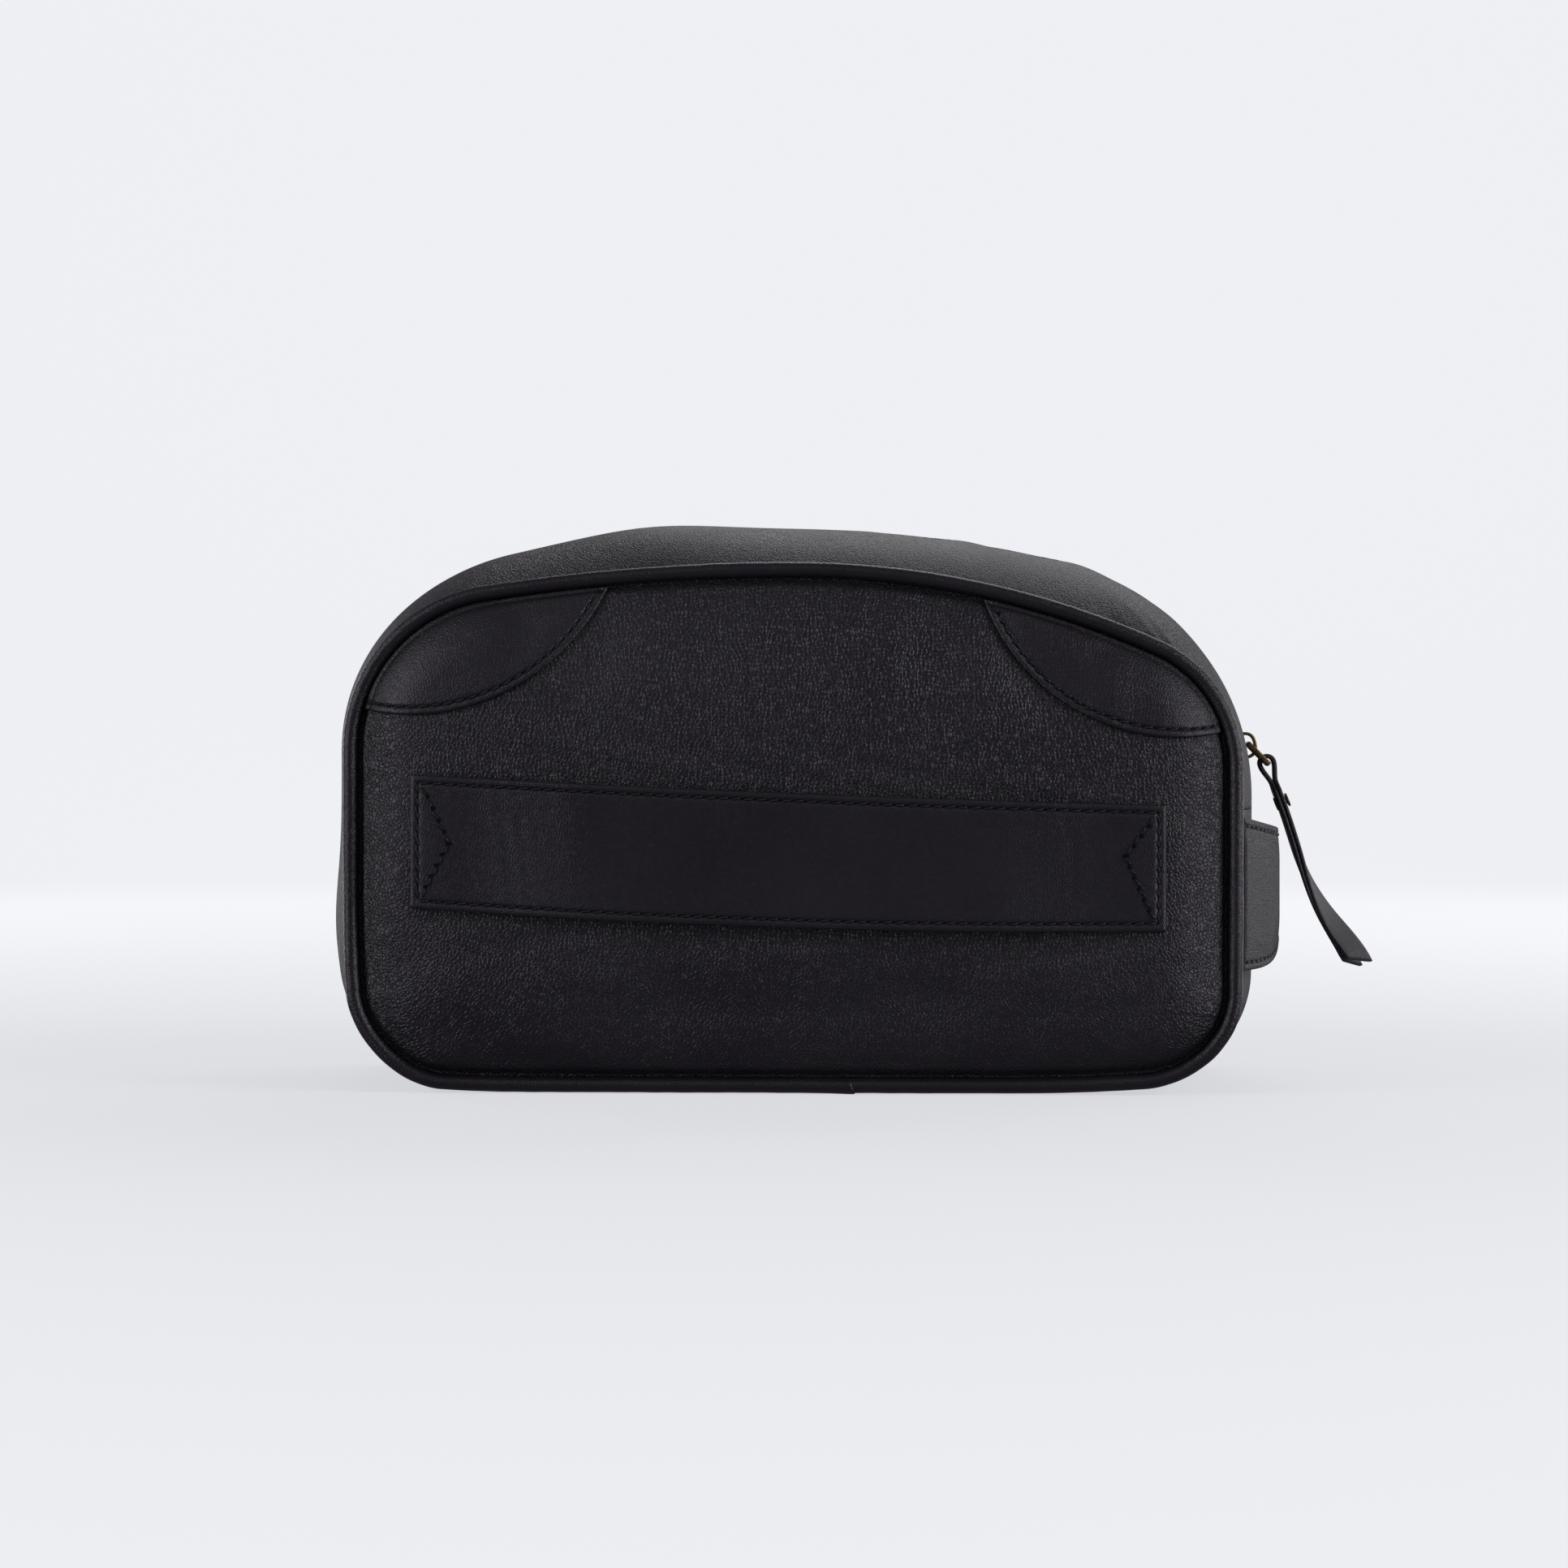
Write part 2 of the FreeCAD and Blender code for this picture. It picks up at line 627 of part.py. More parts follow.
def pull_path_point(distance):
    """A point and a direction down the middle of the leather pull, which curves gently outwards."""
    start = math.radians(-size("pull_angle"))
    bend = size("pull_bend")
    turned = distance / bend
    centre = pull_axis() + Vector(-math.sin(start) * bend, 0, math.cos(start) * bend)
    heading = start + turned
    point = centre + Vector(math.sin(heading) * bend, 0, -math.cos(heading) * bend)
    return point, Vector(math.cos(heading), 0, math.sin(heading))


def pull_band(start, end, width):
    """A stretch of the pull at its full thickness."""
    half = 0.5 * size("pull_leather")
    rims = []
    for offset in (half, -half):
        rim = []
        for distance in (start, 0.5 * (start + end), end):
            point, heading = pull_path_point(distance)
            rim.append(point + Vector(-heading.z, 0, heading.x) * offset - Vector(0, 0.5 * width, 0))
        rims.append(rim)
    upper, lower = rims
    edges = [
        Part.Arc(*upper).toShape(),
        Part.makeLine(upper[2], lower[2]),
        Part.Arc(*reversed(lower)).toShape(),
        Part.makeLine(lower[0], upper[0]),
    ]
    return Part.Face(Part.Wire(edges)).extrude(Vector(0, width, 0))


def make_pull():
    """A strip folded round the puller's bar and riveted to itself."""
    neck = size("puller_width") - 2 * size("puller_side") - 2 * size("neck_clearance")
    eye_radius = bar_corner() + size("eye_clearance")
    eye = pull_axis() - Vector(0, 0.5 * neck, 0)
    ring = Part.makeCylinder(eye_radius + 0.5 * size("pull_leather"), neck, eye, Vector(0, 1, 0))
    hole = Part.makeCylinder(eye_radius, 4 * neck, eye - Vector(0, neck, 0), Vector(0, 1, 0))
    start = eye_radius + 0.2 * size("pull_leather")
    strip = ring.fuse(pull_band(start, size("pull_neck_length"), neck))
    strip = strip.fuse(pull_band(size("pull_neck_length"), size("pull_length"), size("pull_width")))
    point, heading = pull_path_point(size("rivet_place"))
    across = Vector(-heading.z, 0, heading.x)
    half = 0.5 * size("pull_leather")
    head = size("rivet_head_height")
    shank = Part.makeCylinder(size("rivet_radius"), 2 * half, point - across * half, across)
    rivet = shank.fuse(Part.makeCylinder(size("rivet_head"), head, point + across * half, across))
    rivet = rivet.fuse(Part.makeCylinder(size("rivet_head"), head, point - across * (half + head), across))
    soft("leather_pull", strip.cut(hole).cut(rivet))
    soft("pull_rivet", rivet)


# ---------------------------------------------------------------- hand strap and side handle


def make_hand_strap():
    """Two layers, sewn down at both ends and standing off the panel between them."""
    half = size("seam_half_width") - size("pillow_inset") - size("strap_margin")
    foot = size("strap_foot")
    ramp = size("strap_ramp")
    rise = size("strap_rise")
    layer = size("strap_leather")
    base = PANEL_FRONT

    def rim(out):
        near = -(base + out)
        far = -(base + out + rise)
        return [(-half, near), (foot - half, near), (foot + ramp - half, far), (half - foot - ramp, far),
                (half - foot, near), (half, near)]

    for number, label in enumerate(("hand_strap_backing", "hand_strap")):
        back = rim(number * layer)
        front = rim((number + 1) * layer)
        corners = [Vector(x, y, -0.5 * size("strap_width")) for x, y in back + front[::-1]]
        section = Part.Face(Part.makePolygon(corners + corners[:1]))
        solid = section.extrude(Vector(0, 0, size("strap_width")))
        tilt = Rotation(Vector(0, 1, 0), size("strap_tilt"))
        soft(label, solid, Placement(Vector(0, 0, FOLD_HEIGHT - size("strap_below_fold")), tilt))


def make_side_handle():
    """Two layers in an arc between the seams of the right side, narrower in the middle."""
    reach = size("seam_half_width") + size("side_bulge") + size("handle_standoff")
    layer = size("handle_leather")
    end = GUSSET_DEPTH
    foot = size("seam_half_width") + 2 * layer
    sag = reach - foot
    radius = (end ** 2 + sag ** 2) / (2 * sag)
    centre = reach - radius
    room = Part.makeBox(FAR, 2 * end, FAR, Vector(centre, -end, 0))

    def waist(at_seam, at_middle):
        points = [Vector(0, -end, at_seam), Vector(0, 0, at_middle), Vector(0, end, at_seam)]
        return Part.Arc(*points).toShape()

    upper = ZIP_END - size("handle_drop")
    lower = upper - size("handle_width")
    top = waist(upper, upper - size("handle_waist_drop"))
    bottom = waist(lower, lower + size("handle_waist_rise"))
    sides = []
    for way in (1, -1):
        sides.append(Part.makeLine(Vector(0, way * end, lower), Vector(0, way * end, upper)))
    profile = Part.Face(Part.Wire(Part.__sortEdges__([top, bottom] + sides))).extrude(Vector(FAR, 0, 0))
    gusset = gusset_block(0.0, GUSSET_DEPTH)
    for number, label in enumerate(("side_handle", "side_handle_backing")):
        outer = radius - number * layer
        axis = Vector(centre, 0, 0)
        ring = Part.makeCylinder(outer, FAR, axis).cut(Part.makeCylinder(outer - layer, FAR, axis))
        soft(label, ring.common(room).common(profile).cut(gusset))


# ---------------------------------------------------------------- build, check and write


def check_document():
    """Stops on any failed object and any piece without a sound shape."""
    for thing in doc.Objects:
        if "Invalid" in thing.State or "Error" in thing.State:
            raise RuntimeError(f"{thing.Name}: {thing.State}")
    for thing in NODES:
        if thing.Shape.isNull() or not thing.Shape.isValid() or thing.Shape.Volume <= 0:
            raise RuntimeError(f"{thing.Label}: bad shape")


def main():
    """Builds every piece and writes one file for each."""
    make_panels()
    make_piping()
    make_patches()
    make_gusset()
    make_zip()
    make_slider()
    make_puller()
    make_pull()
    make_hand_strap()
    make_side_handle()
    doc.recompute()
    check_document()
    os.makedirs("parts", exist_ok=True)
    for thing in NODES:
        thing.Shape.exportStep(f"parts/{thing.Label}.step")
        print(f"{thing.Label}: {len(thing.Shape.Solids)} solids, {thing.Shape.Volume:.0f} mm3")


main()
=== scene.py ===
"""Leather, thread, zip and lining of a soft wash bag with a D-shaped front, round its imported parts."""

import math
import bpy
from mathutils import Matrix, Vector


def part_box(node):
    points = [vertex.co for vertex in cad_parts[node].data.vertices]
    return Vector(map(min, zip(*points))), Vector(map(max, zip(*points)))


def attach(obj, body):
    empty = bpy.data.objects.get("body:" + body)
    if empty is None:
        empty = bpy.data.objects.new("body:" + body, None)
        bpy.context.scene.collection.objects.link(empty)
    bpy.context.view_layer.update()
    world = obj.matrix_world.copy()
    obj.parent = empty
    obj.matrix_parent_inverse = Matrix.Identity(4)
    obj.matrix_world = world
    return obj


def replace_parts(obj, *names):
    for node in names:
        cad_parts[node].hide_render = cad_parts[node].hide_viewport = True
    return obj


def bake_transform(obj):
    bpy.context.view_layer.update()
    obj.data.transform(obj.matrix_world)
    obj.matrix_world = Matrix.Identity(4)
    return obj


bl_info = {
    "name": "Leather Wash Bag",
    "version": (1, 0, 0),
    "blender": (4, 5, 0),
    "location": "3D View > Sidebar > Wash Bag",
    "description": "Builds a padded leather wash bag with a zip, a hand strap and a side handle",
    "category": "Add Mesh",
}

import bmesh
import bpy
import numpy as np
from bpy.props import FloatProperty, FloatVectorProperty, PointerProperty
from mathutils import Vector

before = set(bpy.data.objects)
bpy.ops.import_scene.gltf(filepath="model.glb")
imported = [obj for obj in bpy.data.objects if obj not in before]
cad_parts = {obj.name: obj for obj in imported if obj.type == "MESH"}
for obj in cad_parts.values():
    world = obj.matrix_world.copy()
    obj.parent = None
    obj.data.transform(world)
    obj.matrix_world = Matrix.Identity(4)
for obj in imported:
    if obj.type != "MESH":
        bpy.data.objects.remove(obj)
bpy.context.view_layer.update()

MM = 0.001


def node_box(*nodes):
    """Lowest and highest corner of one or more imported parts, in millimetres."""
    corners = np.array([[tuple(corner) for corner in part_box(node)] for node in nodes]) / MM
    return corners[:, 0].min(0), corners[:, 1].max(0)


# Sizes in millimetres. X is the width, -Y is the front, and +Z is up.
PIPING_LOW, PIPING_HIGH = node_box("front_piping", "front_piping_top")
PIPING_RADIUS = 0.5 * (PIPING_HIGH[1] - PIPING_LOW[1])
SEAM_DEPTH = -0.5 * (PIPING_HIGH[1] + PIPING_LOW[1])
CREST_HIGH = node_box("base_gusset", "front_zip_strip")[1]
GUSSET_DEPTH = node_box("base_gusset")[1][1]
PANEL_FRONT = -node_box("front_panel")[0][1]
PANEL_BACK = SEAM_DEPTH - 0.4

# The D at the seams and at the crest, mid-depth. Pairs are left and right.
SEAM = {"half": PIPING_HIGH[0] - PIPING_RADIUS, "top": PIPING_HIGH[2] - PIPING_RADIUS, "corner": 27.7,
        "shoulder": (47.7, 39.7), "dome": (617.7, 267.7)}
CREST = {"half": CREST_HIGH[0], "top": CREST_HIGH[2], "corner": 35.2,
         "shoulder": (62.0, 75.0), "dome": (537.0, 345.0)}
SEAM_FLOOR = PIPING_LOW[2] + PIPING_RADIUS
CREST_BAND = 13.4
ZIP_END = 85.0
ZIP_SLOT = 6.0
LEATHER = 1.8
TAPE = 0.6
LINING = 0.8
RIM_INSET = 2.4
FLAT_INSET = 20.0
SEAM_GROOVE = 1.3
SEAM_DIP = 0.9
PILLOW = PANEL_FRONT - PANEL_BACK
LINING_FRONT, LINING_BACK = (corner[1] for corner in node_box("front_lining"))
LINING_DEPTH = 51.6
STRAP_WIDTH = 39.2
QUARTER = 0.5 * math.pi
SIGN = {"front": -1.0, "back": 1.0}

PATCHES = {"left": ((-113.5, 177.6), 64.0), "right": ((115.1, 167.8), 61.0)}
PATCH_LEATHER = 1.4


# ------------------------ sizes and colours


class WashBagSizes(bpy.types.PropertyGroup):
    """Sizes of the sewn details."""

    stitch_pitch: FloatProperty(
        name="Stitch Pitch", description="Hole to hole along a seam", default=0.00376, unit="LENGTH")
    thread: FloatProperty(
        name="Thread", description="Thickness of the sewing thread", default=0.00085, unit="LENGTH")
    stitch_inset: FloatProperty(
        name="Stitch Inset", description="Cut edge to the row of stitches", default=0.0024, unit="LENGTH")
    swell: FloatProperty(
        name="Swell", description="Most that a padded panel swells out of its cut shape", default=0.0022,
        unit="LENGTH")
    piping_radius: FloatProperty(
        name="Piping Radius", description="Radius of the piping round the panels",
        default=PIPING_RADIUS * MM, unit="LENGTH")
    grain: FloatProperty(
        name="Grain", description="Size of one cell of the leather's grain", default=0.0011, unit="LENGTH")
    strap_width: FloatProperty(
        name="Strap Width", description="Width of the hand strap", default=STRAP_WIDTH * MM, unit="LENGTH")


class WashBagColours(bpy.types.PropertyGroup):
    """Colours of the leather, thread, metal and cloth."""

    leather: FloatVectorProperty(
        name="Leather", description="Colour of the leather", default=(0.0046, 0.0038, 0.0058),
        subtype="COLOR", size=3, min=0.0, max=1.0)
    # The cut edges' colour is lighter than the leather's: a painted highlight along each edge.
    cut_edge_highlight: FloatVectorProperty(
        name="Cut Edge", description="Colour of the painted cut edges", default=(0.035, 0.035, 0.039),
        subtype="COLOR", size=3, min=0.0, max=1.0)
    thread: FloatVectorProperty(
        name="Thread", description="Colour of the sewing thread", default=(0.004, 0.004, 0.01),
        subtype="COLOR", size=3, min=0.0, max=1.0)
    lining: FloatVectorProperty(
        name="Lining", description="Colour of the lining cloth", default=(0.02, 0.021, 0.026),
        subtype="COLOR", size=3, min=0.0, max=1.0)
    tape: FloatVectorProperty(
        name="Tape", description="Colour of the zip's woven tape", default=(0.008, 0.008, 0.01),
        subtype="COLOR", size=3, min=0.0, max=1.0)
    brass: FloatVectorProperty(
        name="Brass", description="Colour of the teeth and the slider", default=(0.2, 0.14, 0.075),
        subtype="COLOR", size=3, min=0.0, max=1.0)
    floor: FloatVectorProperty(
        name="Floor", description="Colour of the floor", default=(0.83, 0.84, 0.87),
        subtype="COLOR", size=3, min=0.0, max=1.0)


def sizes():
    """The scene's sizes."""
    return bpy.context.scene.wash_bag_sizes


def colours():
    """The scene's colours."""
    return bpy.context.scene.wash_bag_colours


def millimetres(length):
    """A property's length in millimetres."""
    return length / MM


# ------------------------ numbers


def smooth(value):
    """0 below 0, 1 above 1, and 3t^2 - 2t^3 between."""
    t = np.clip(value, 0.0, 1.0)
    return t * t * (3.0 - 2.0 * t)


def bump(value, middle, width):
    """A rounded ridge, exp(-((value - middle) / width)^2)."""
    return np.exp(-(((value - middle) / width) ** 2))


def ripple(value, seed, waves=5):
    """A wandering number between about -1 and 1: a mean of sines whose pace and phase the seed draws."""
    draw = np.random.default_rng(seed)
    total = np.zeros_like(np.asarray(value, float))
    for _ in range(waves):
        total = total + np.sin(value * draw.uniform(0.5, 1.6) + draw.uniform(0.0, 2.0 * math.pi))
    return total / waves * 1.6


def running_length(points):
    """Length along a line of points, up to each of them."""
    steps = np.linalg.norm(np.diff(points, axis=0), axis=1)
    return np.concatenate([[0.0], np.cumsum(steps)])


def along_line(points, places):
    """Points at given lengths along a line of points."""
    run = running_length(points)
    return np.stack([np.interp(places, run, column) for column in points.T], axis=1)


def even_places(length, pitch, margin=0.0):
    """Lengths that divide a line into equal steps of about the pitch, in from both ends."""
    count = max(2, round((length - 2.0 * margin) / pitch) + 1)
    return np.linspace(margin, length - margin, count)


def unit(vectors):
    """Vectors made one long."""
    return vectors / np.maximum(np.linalg.norm(vectors, axis=-1, keepdims=True), 1e-12)


def ring_turns(count):
    """Angles that divide a turn evenly."""
    return np.linspace(0.0, 2.0 * math.pi, count + 1)[:-1]


# ------------------------ the D outline

# How the soft bag has settled. Along the crest: height, middle and width of a ridge and of a dip. On the
# left side: how far it swells, at what height and how widely, and where that begins. At the bottom
# corners: where the corner is, how far its move reaches, and how far it moves across and up.
CREST_RIDGE = (2.7, -45.0, 28.0)
CREST_DIP = (1.3, -112.0, 26.0)
CREST_BEGINS = (100.0, 40.0)
SIDE_SWELL = (2.2, 50.0, 20.0)
SIDE_BEGINS = (100.0, 20.0)
LOW_CORNERS = (((-132.0, 6.0), 26.0, (2.0, 2.0)), ((120.0, 2.0), 28.0, (-0.5, 1.8)))


def between(seam, crest, bulge):
    """A size at a bulge: seam + (crest - seam) * bulge."""
    return seam + (crest - seam) * bulge


def shoulders(bulge, inset):
    """Left and right shoulder: radius, dome radius, distance across, the dome's and its own centre, and
    the angle where they meet. The two arcs touch, so their centres and the difference of their radii make
    a right triangle."""
    found = []
    for side in (0, 1):
        radius = between(SEAM["shoulder"][side], CREST["shoulder"][side], bulge) - inset
        dome = between(SEAM["dome"][side], CREST["dome"][side], bulge) - inset
        across = between(SEAM["half"], CREST["half"], bulge) - inset - radius
        dome_centre = between(SEAM["top"], CREST["top"], bulge) - inset - dome
        up = np.sqrt((dome - radius) ** 2 - across**2)
        found.append((radius, dome, across, dome_centre, dome_centre + up, np.arctan2(up, across)))
    return found


def side_foot(bulge, inset):
    """Height where the bottom corner ends and the side begins."""
    corner = between(SEAM["corner"], CREST["corner"], bulge) - inset
    return SEAM_FLOOR * (1.0 - np.minimum(1.0, 2.0 * bulge)) + inset + corner


def slump(x, z, bulge):
    """How the soft bag has settled from its cut shape: ridges along the crest, a swollen left side, and
    bottom corners that round up off the floor. Each is a length times a rounded ridge of x, of z or of
    both."""
    crest = CREST_RIDGE[0] * bump(x, *CREST_RIDGE[1:]) - CREST_DIP[0] * bump(x, *CREST_DIP[1:])
    side = -SIDE_SWELL[0] * bump(z, *SIDE_SWELL[1:]) * smooth((-x - SIDE_BEGINS[0]) / SIDE_BEGINS[1])
    across = bulge * side
    up = bulge * crest * smooth((z - CREST_BEGINS[0]) / CREST_BEGINS[1])
    for (corner_x, corner_z), reach, (move_x, move_z) in LOW_CORNERS:
        near = bump(np.hypot(x - corner_x, z - corner_z), 0.0, reach)
        across = across + move_x * near
        up = up + move_z * near
    return np.stack([across, up], axis=-1)


def outline(way, bulge=0.0, inset=0.0):
    """Points and outward normals of the D, seen from the front.

    The D is nine stretches, and way counts them from the left end of the base: base, corner, side,
    shoulder, dome, dome, shoulder, side, corner. In each, an arm swings from one angle to another while
    its foot slides from one place to another, so the point is foot + arm * (cos, sin). An arc's foot
    stands still, and a straight stretch's arm has no length. Every size goes evenly from the seam's, at
    bulge 0, to the crest's, at bulge 1, less the inset. The slump is added last."""
    way, bulge, inset = (np.array(part, float) for part in np.broadcast_arrays(way, bulge, inset))
    left, right = shoulders(bulge, inset)
    half = between(SEAM["half"], CREST["half"], bulge) - inset
    corner = between(SEAM["corner"], CREST["corner"], bulge) - inset
    low = side_foot(bulge, inset)
    flat = half - corner
    nothing = np.zeros_like(way)
    # Each row: foot x and z at the start and at the end, arm, first and last angle.
    rows = [
        (-flat, low - corner, flat, low - corner, nothing, -QUARTER, -QUARTER),
        (flat, low, flat, low, corner, -QUARTER, 0.0),
        (half, low, half, right[4], nothing, 0.0, 0.0),
        (right[2], right[4], right[2], right[4], right[0], 0.0, right[5]),
        (nothing, right[3], nothing, right[3], right[1], right[5], QUARTER),
        (nothing, left[3], nothing, left[3], left[1], QUARTER, math.pi - left[5]),
        (-left[2], left[4], -left[2], left[4], left[0], math.pi - left[5], math.pi),
        (-half, left[4], -half, low, nothing, math.pi, math.pi),
        (-flat, low, -flat, low, corner, math.pi, 3.0 * QUARTER),
    ]
    table = np.array([[np.broadcast_to(cell, way.shape) for cell in row] for row in rows])
    stretch = np.floor(way).astype(int)
    part = way - stretch
    chosen = np.take_along_axis(table, (stretch % 9)[None, None], axis=0)[0]
    angle = chosen[5] + part * (chosen[6] - chosen[5])
    normal = np.stack([np.cos(angle), np.sin(angle)], axis=-1)
    foot = chosen[0:2] + part * (chosen[2:4] - chosen[0:2])
    points = np.moveaxis(foot, 0, -1) + chosen[4][..., None] * normal
    return points + slump(points[..., 0], points[..., 1], bulge), normal


def even_ways(count, start=0.0, end=9.0, bulge=0.0):
    """Ways that stand at equal lengths along the D at one bulge."""
    fine = np.linspace(start, end, 6000)
    run = running_length(outline(fine, bulge)[0])
    return np.interp(np.linspace(0.0, run[-1], count), run, fine)


def bulge_at(depth):
    """How far the gusset has left its seams: 1 on the level band along the zip, a parabola down to 0."""
    t = np.clip((np.abs(depth) - CREST_BAND) / (GUSSET_DEPTH - CREST_BAND), 0.0, 1.0)
    return 1.0 - t * t


RIM_POINTS, RIM_NORMALS = outline(even_ways(1400)[:-1])


def inset_of(x, z):
    """How far inside the seam outline points are: the nearest rim point's offset along its own normal.
    Points are taken in blocks, to keep the table of distances small."""
    flat = np.stack([np.ravel(x), np.ravel(z)], axis=1)
    found = []
    for block in np.array_split(flat, max(1, len(flat) // 4000)):
        gaps = block[:, None, :] - RIM_POINTS[None]
        nearest = np.argmin((gaps**2).sum(-1), axis=1)
        rows = np.arange(len(block))
        found.append(-(gaps[rows, nearest] * RIM_NORMALS[nearest]).sum(-1))
    return np.concatenate(found).reshape(np.shape(x))


# ------------------------ meshes


def grid_faces(rows, columns, close_rows=False, close_columns=False):
    """Quads between neighbours in a table of points. A closed direction joins its last to its first."""
    i, j = np.meshgrid(
        np.arange(rows if close_rows else rows - 1),
        np.arange(columns if close_columns else columns - 1), indexing="ij")
    after = (i + 1) % rows
    beside = (j + 1) % columns
    quads = [i * columns + j, i * columns + beside, after * columns + beside, after * columns + j]
    return np.stack(quads, axis=-1).reshape(-1, 4)


def edge_loop(rows, columns):
    """Numbers of the points round the edge of a table, in order."""
    table = np.arange(rows * columns).reshape(rows, columns)
    return np.concatenate([table[0, :-1], table[:-1, -1], table[-1, :0:-1], table[:0:-1, 0]])


def strip_faces(first, second):
    """Quads between two closed loops of point numbers, the second one outside the first or under it."""
    return np.stack([first, second, np.roll(second, -1), np.roll(first, -1)], axis=1)


def plate(top, under, faces, rim):
    """A closed skin from the points of two faces with the same quads: both of them, and a wall between
    their rims."""
    count = len(top)
    quads = np.concatenate([faces, faces[:, ::-1] + count, strip_faces(rim, rim + count)])
    return np.concatenate([top, under]), [quads]


def slab(top, under):
    """A plate from two tables of points."""
    size = top.shape[:2]
    return plate(top.reshape(-1, 3), under.reshape(-1, 3), grid_faces(*size), edge_loop(*size))


def tube(sections, close=False):
    """A closed skin through a row of closed sections. An open tube ends in a fan round its end's middle."""
    rows, columns = sections.shape[:2]
    quads = grid_faces(rows, columns, close, True)
    points = sections.reshape(-1, 3)
    if close:
        return points, [quads]
    middles = np.stack([sections[0].mean(0), sections[-1].mean(0)])
    count = len(points)
    around = np.arange(columns)
    beside = (around + 1) % columns
    last = (rows - 1) * columns
    start = np.stack([np.full(columns, count), beside, around], axis=1)
    end = np.stack([np.full(columns, count + 1), last + around, last + beside], axis=1)
    return np.concatenate([points, middles]), [quads, np.concatenate([start, end])]


def joined(parts):
    """Several skins as one."""
    points, faces, count = [], [], 0
    for part_points, part_faces in parts:
        points.append(part_points)
        faces += [block + count for block in part_faces]
        count += len(part_points)
    return np.concatenate(points), faces


def repeated(shape, places, axes):
    """One small shape at many places. A point (a, b, c) of it goes to place + a * axis 0 + b * axis 1 +
    c * axis 2."""
    points, faces = shape
    moved = places[:, None, :] + np.einsum("pk,nkx->npx", points, axes)
    shift = (np.arange(len(places)) * len(points))[:, None, None]
    return moved.reshape(-1, 3), [(block[None] + shift).reshape(-1, block.shape[1]) for block in faces]


def signed_volume(points, faces):
    """Six times the volume inside a closed skin: the sum of a . (b x c) over its triangles."""
    total = 0.0
    for block in faces:
        first = points[block[:, 0]]
        for k in range(1, block.shape[1] - 1):
            total += (first * np.cross(points[block[:, k]], points[block[:, k + 1]])).sum()
    return total


def add_mesh(name, skin, material, closed=True, edge=None):
    """A new object from a skin in millimetres, with its faces turned outwards. An edge is a second
    material and the number of faces, last in the skin, that take it."""
    points, faces = skin
    if closed and signed_volume(points - points.mean(0), faces) < 0.0:
        faces = [block[:, ::-1] for block in faces]
    mesh = bpy.data.meshes.new(name)
    corners = np.concatenate([block.ravel() for block in faces]).astype(np.int32)
    counts = np.concatenate([np.full(len(block), block.shape[1]) for block in faces])
    starts = np.concatenate([[0], np.cumsum(counts)[:-1]]).astype(np.int32)
    mesh.vertices.add(len(points))
    mesh.vertices.foreach_set("co", (points * MM).astype(np.float32).ravel())
    mesh.loops.add(len(corners))
    mesh.loops.foreach_set("vertex_index", corners)
    mesh.polygons.add(len(starts))
    mesh.polygons.foreach_set("loop_start", starts)
    mesh.polygons.foreach_set("use_smooth", np.full(len(starts), True))
    mesh.update(calc_edges=True)
    mesh.validate()
    thing = bpy.data.objects.new(name, mesh)
    bpy.context.scene.collection.objects.link(thing)
    mesh.materials.append(material)
    if edge:
        mesh.materials.append(edge[0])
        index = np.zeros(len(mesh.polygons), np.int32)
        index[-edge[1]:] = 1
        mesh.polygons.foreach_set("material_index", index)
    return thing


def add_slab(name, top, under, paint):
    """A new slab of leather, with a lighter cut edge all round: the lighter colour is a painted highlight
    along the edge.
    """
    wall = len(edge_loop(*top.shape[:2]))
    return add_mesh(name, slab(top, under), material(paint), edge=(material("edge"), wall))


def rounded_section(width, thickness, corner):
    """A rectangle with round corners, as (across, through) points. Each corner is a quarter of a circle."""
    half_width, half_thickness = 0.5 * width - corner, 0.5 * thickness - corner
    points = []
    for number, (across, through) in enumerate(((1, 1), (-1, 1), (-1, -1), (1, -1))):
        angle = (number + np.linspace(0.0, 1.0, 4)) * QUARTER
        arc = np.stack([across * half_width + corner * np.cos(angle),
                        through * half_thickness + corner * np.sin(angle)], axis=1)
        points.append(arc)
    return np.concatenate(points)


def bend_with_lip(thing):
    """Bakes a piece's transform into its mesh."""
    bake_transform(thing)
    return thing


# ------------------------ materials


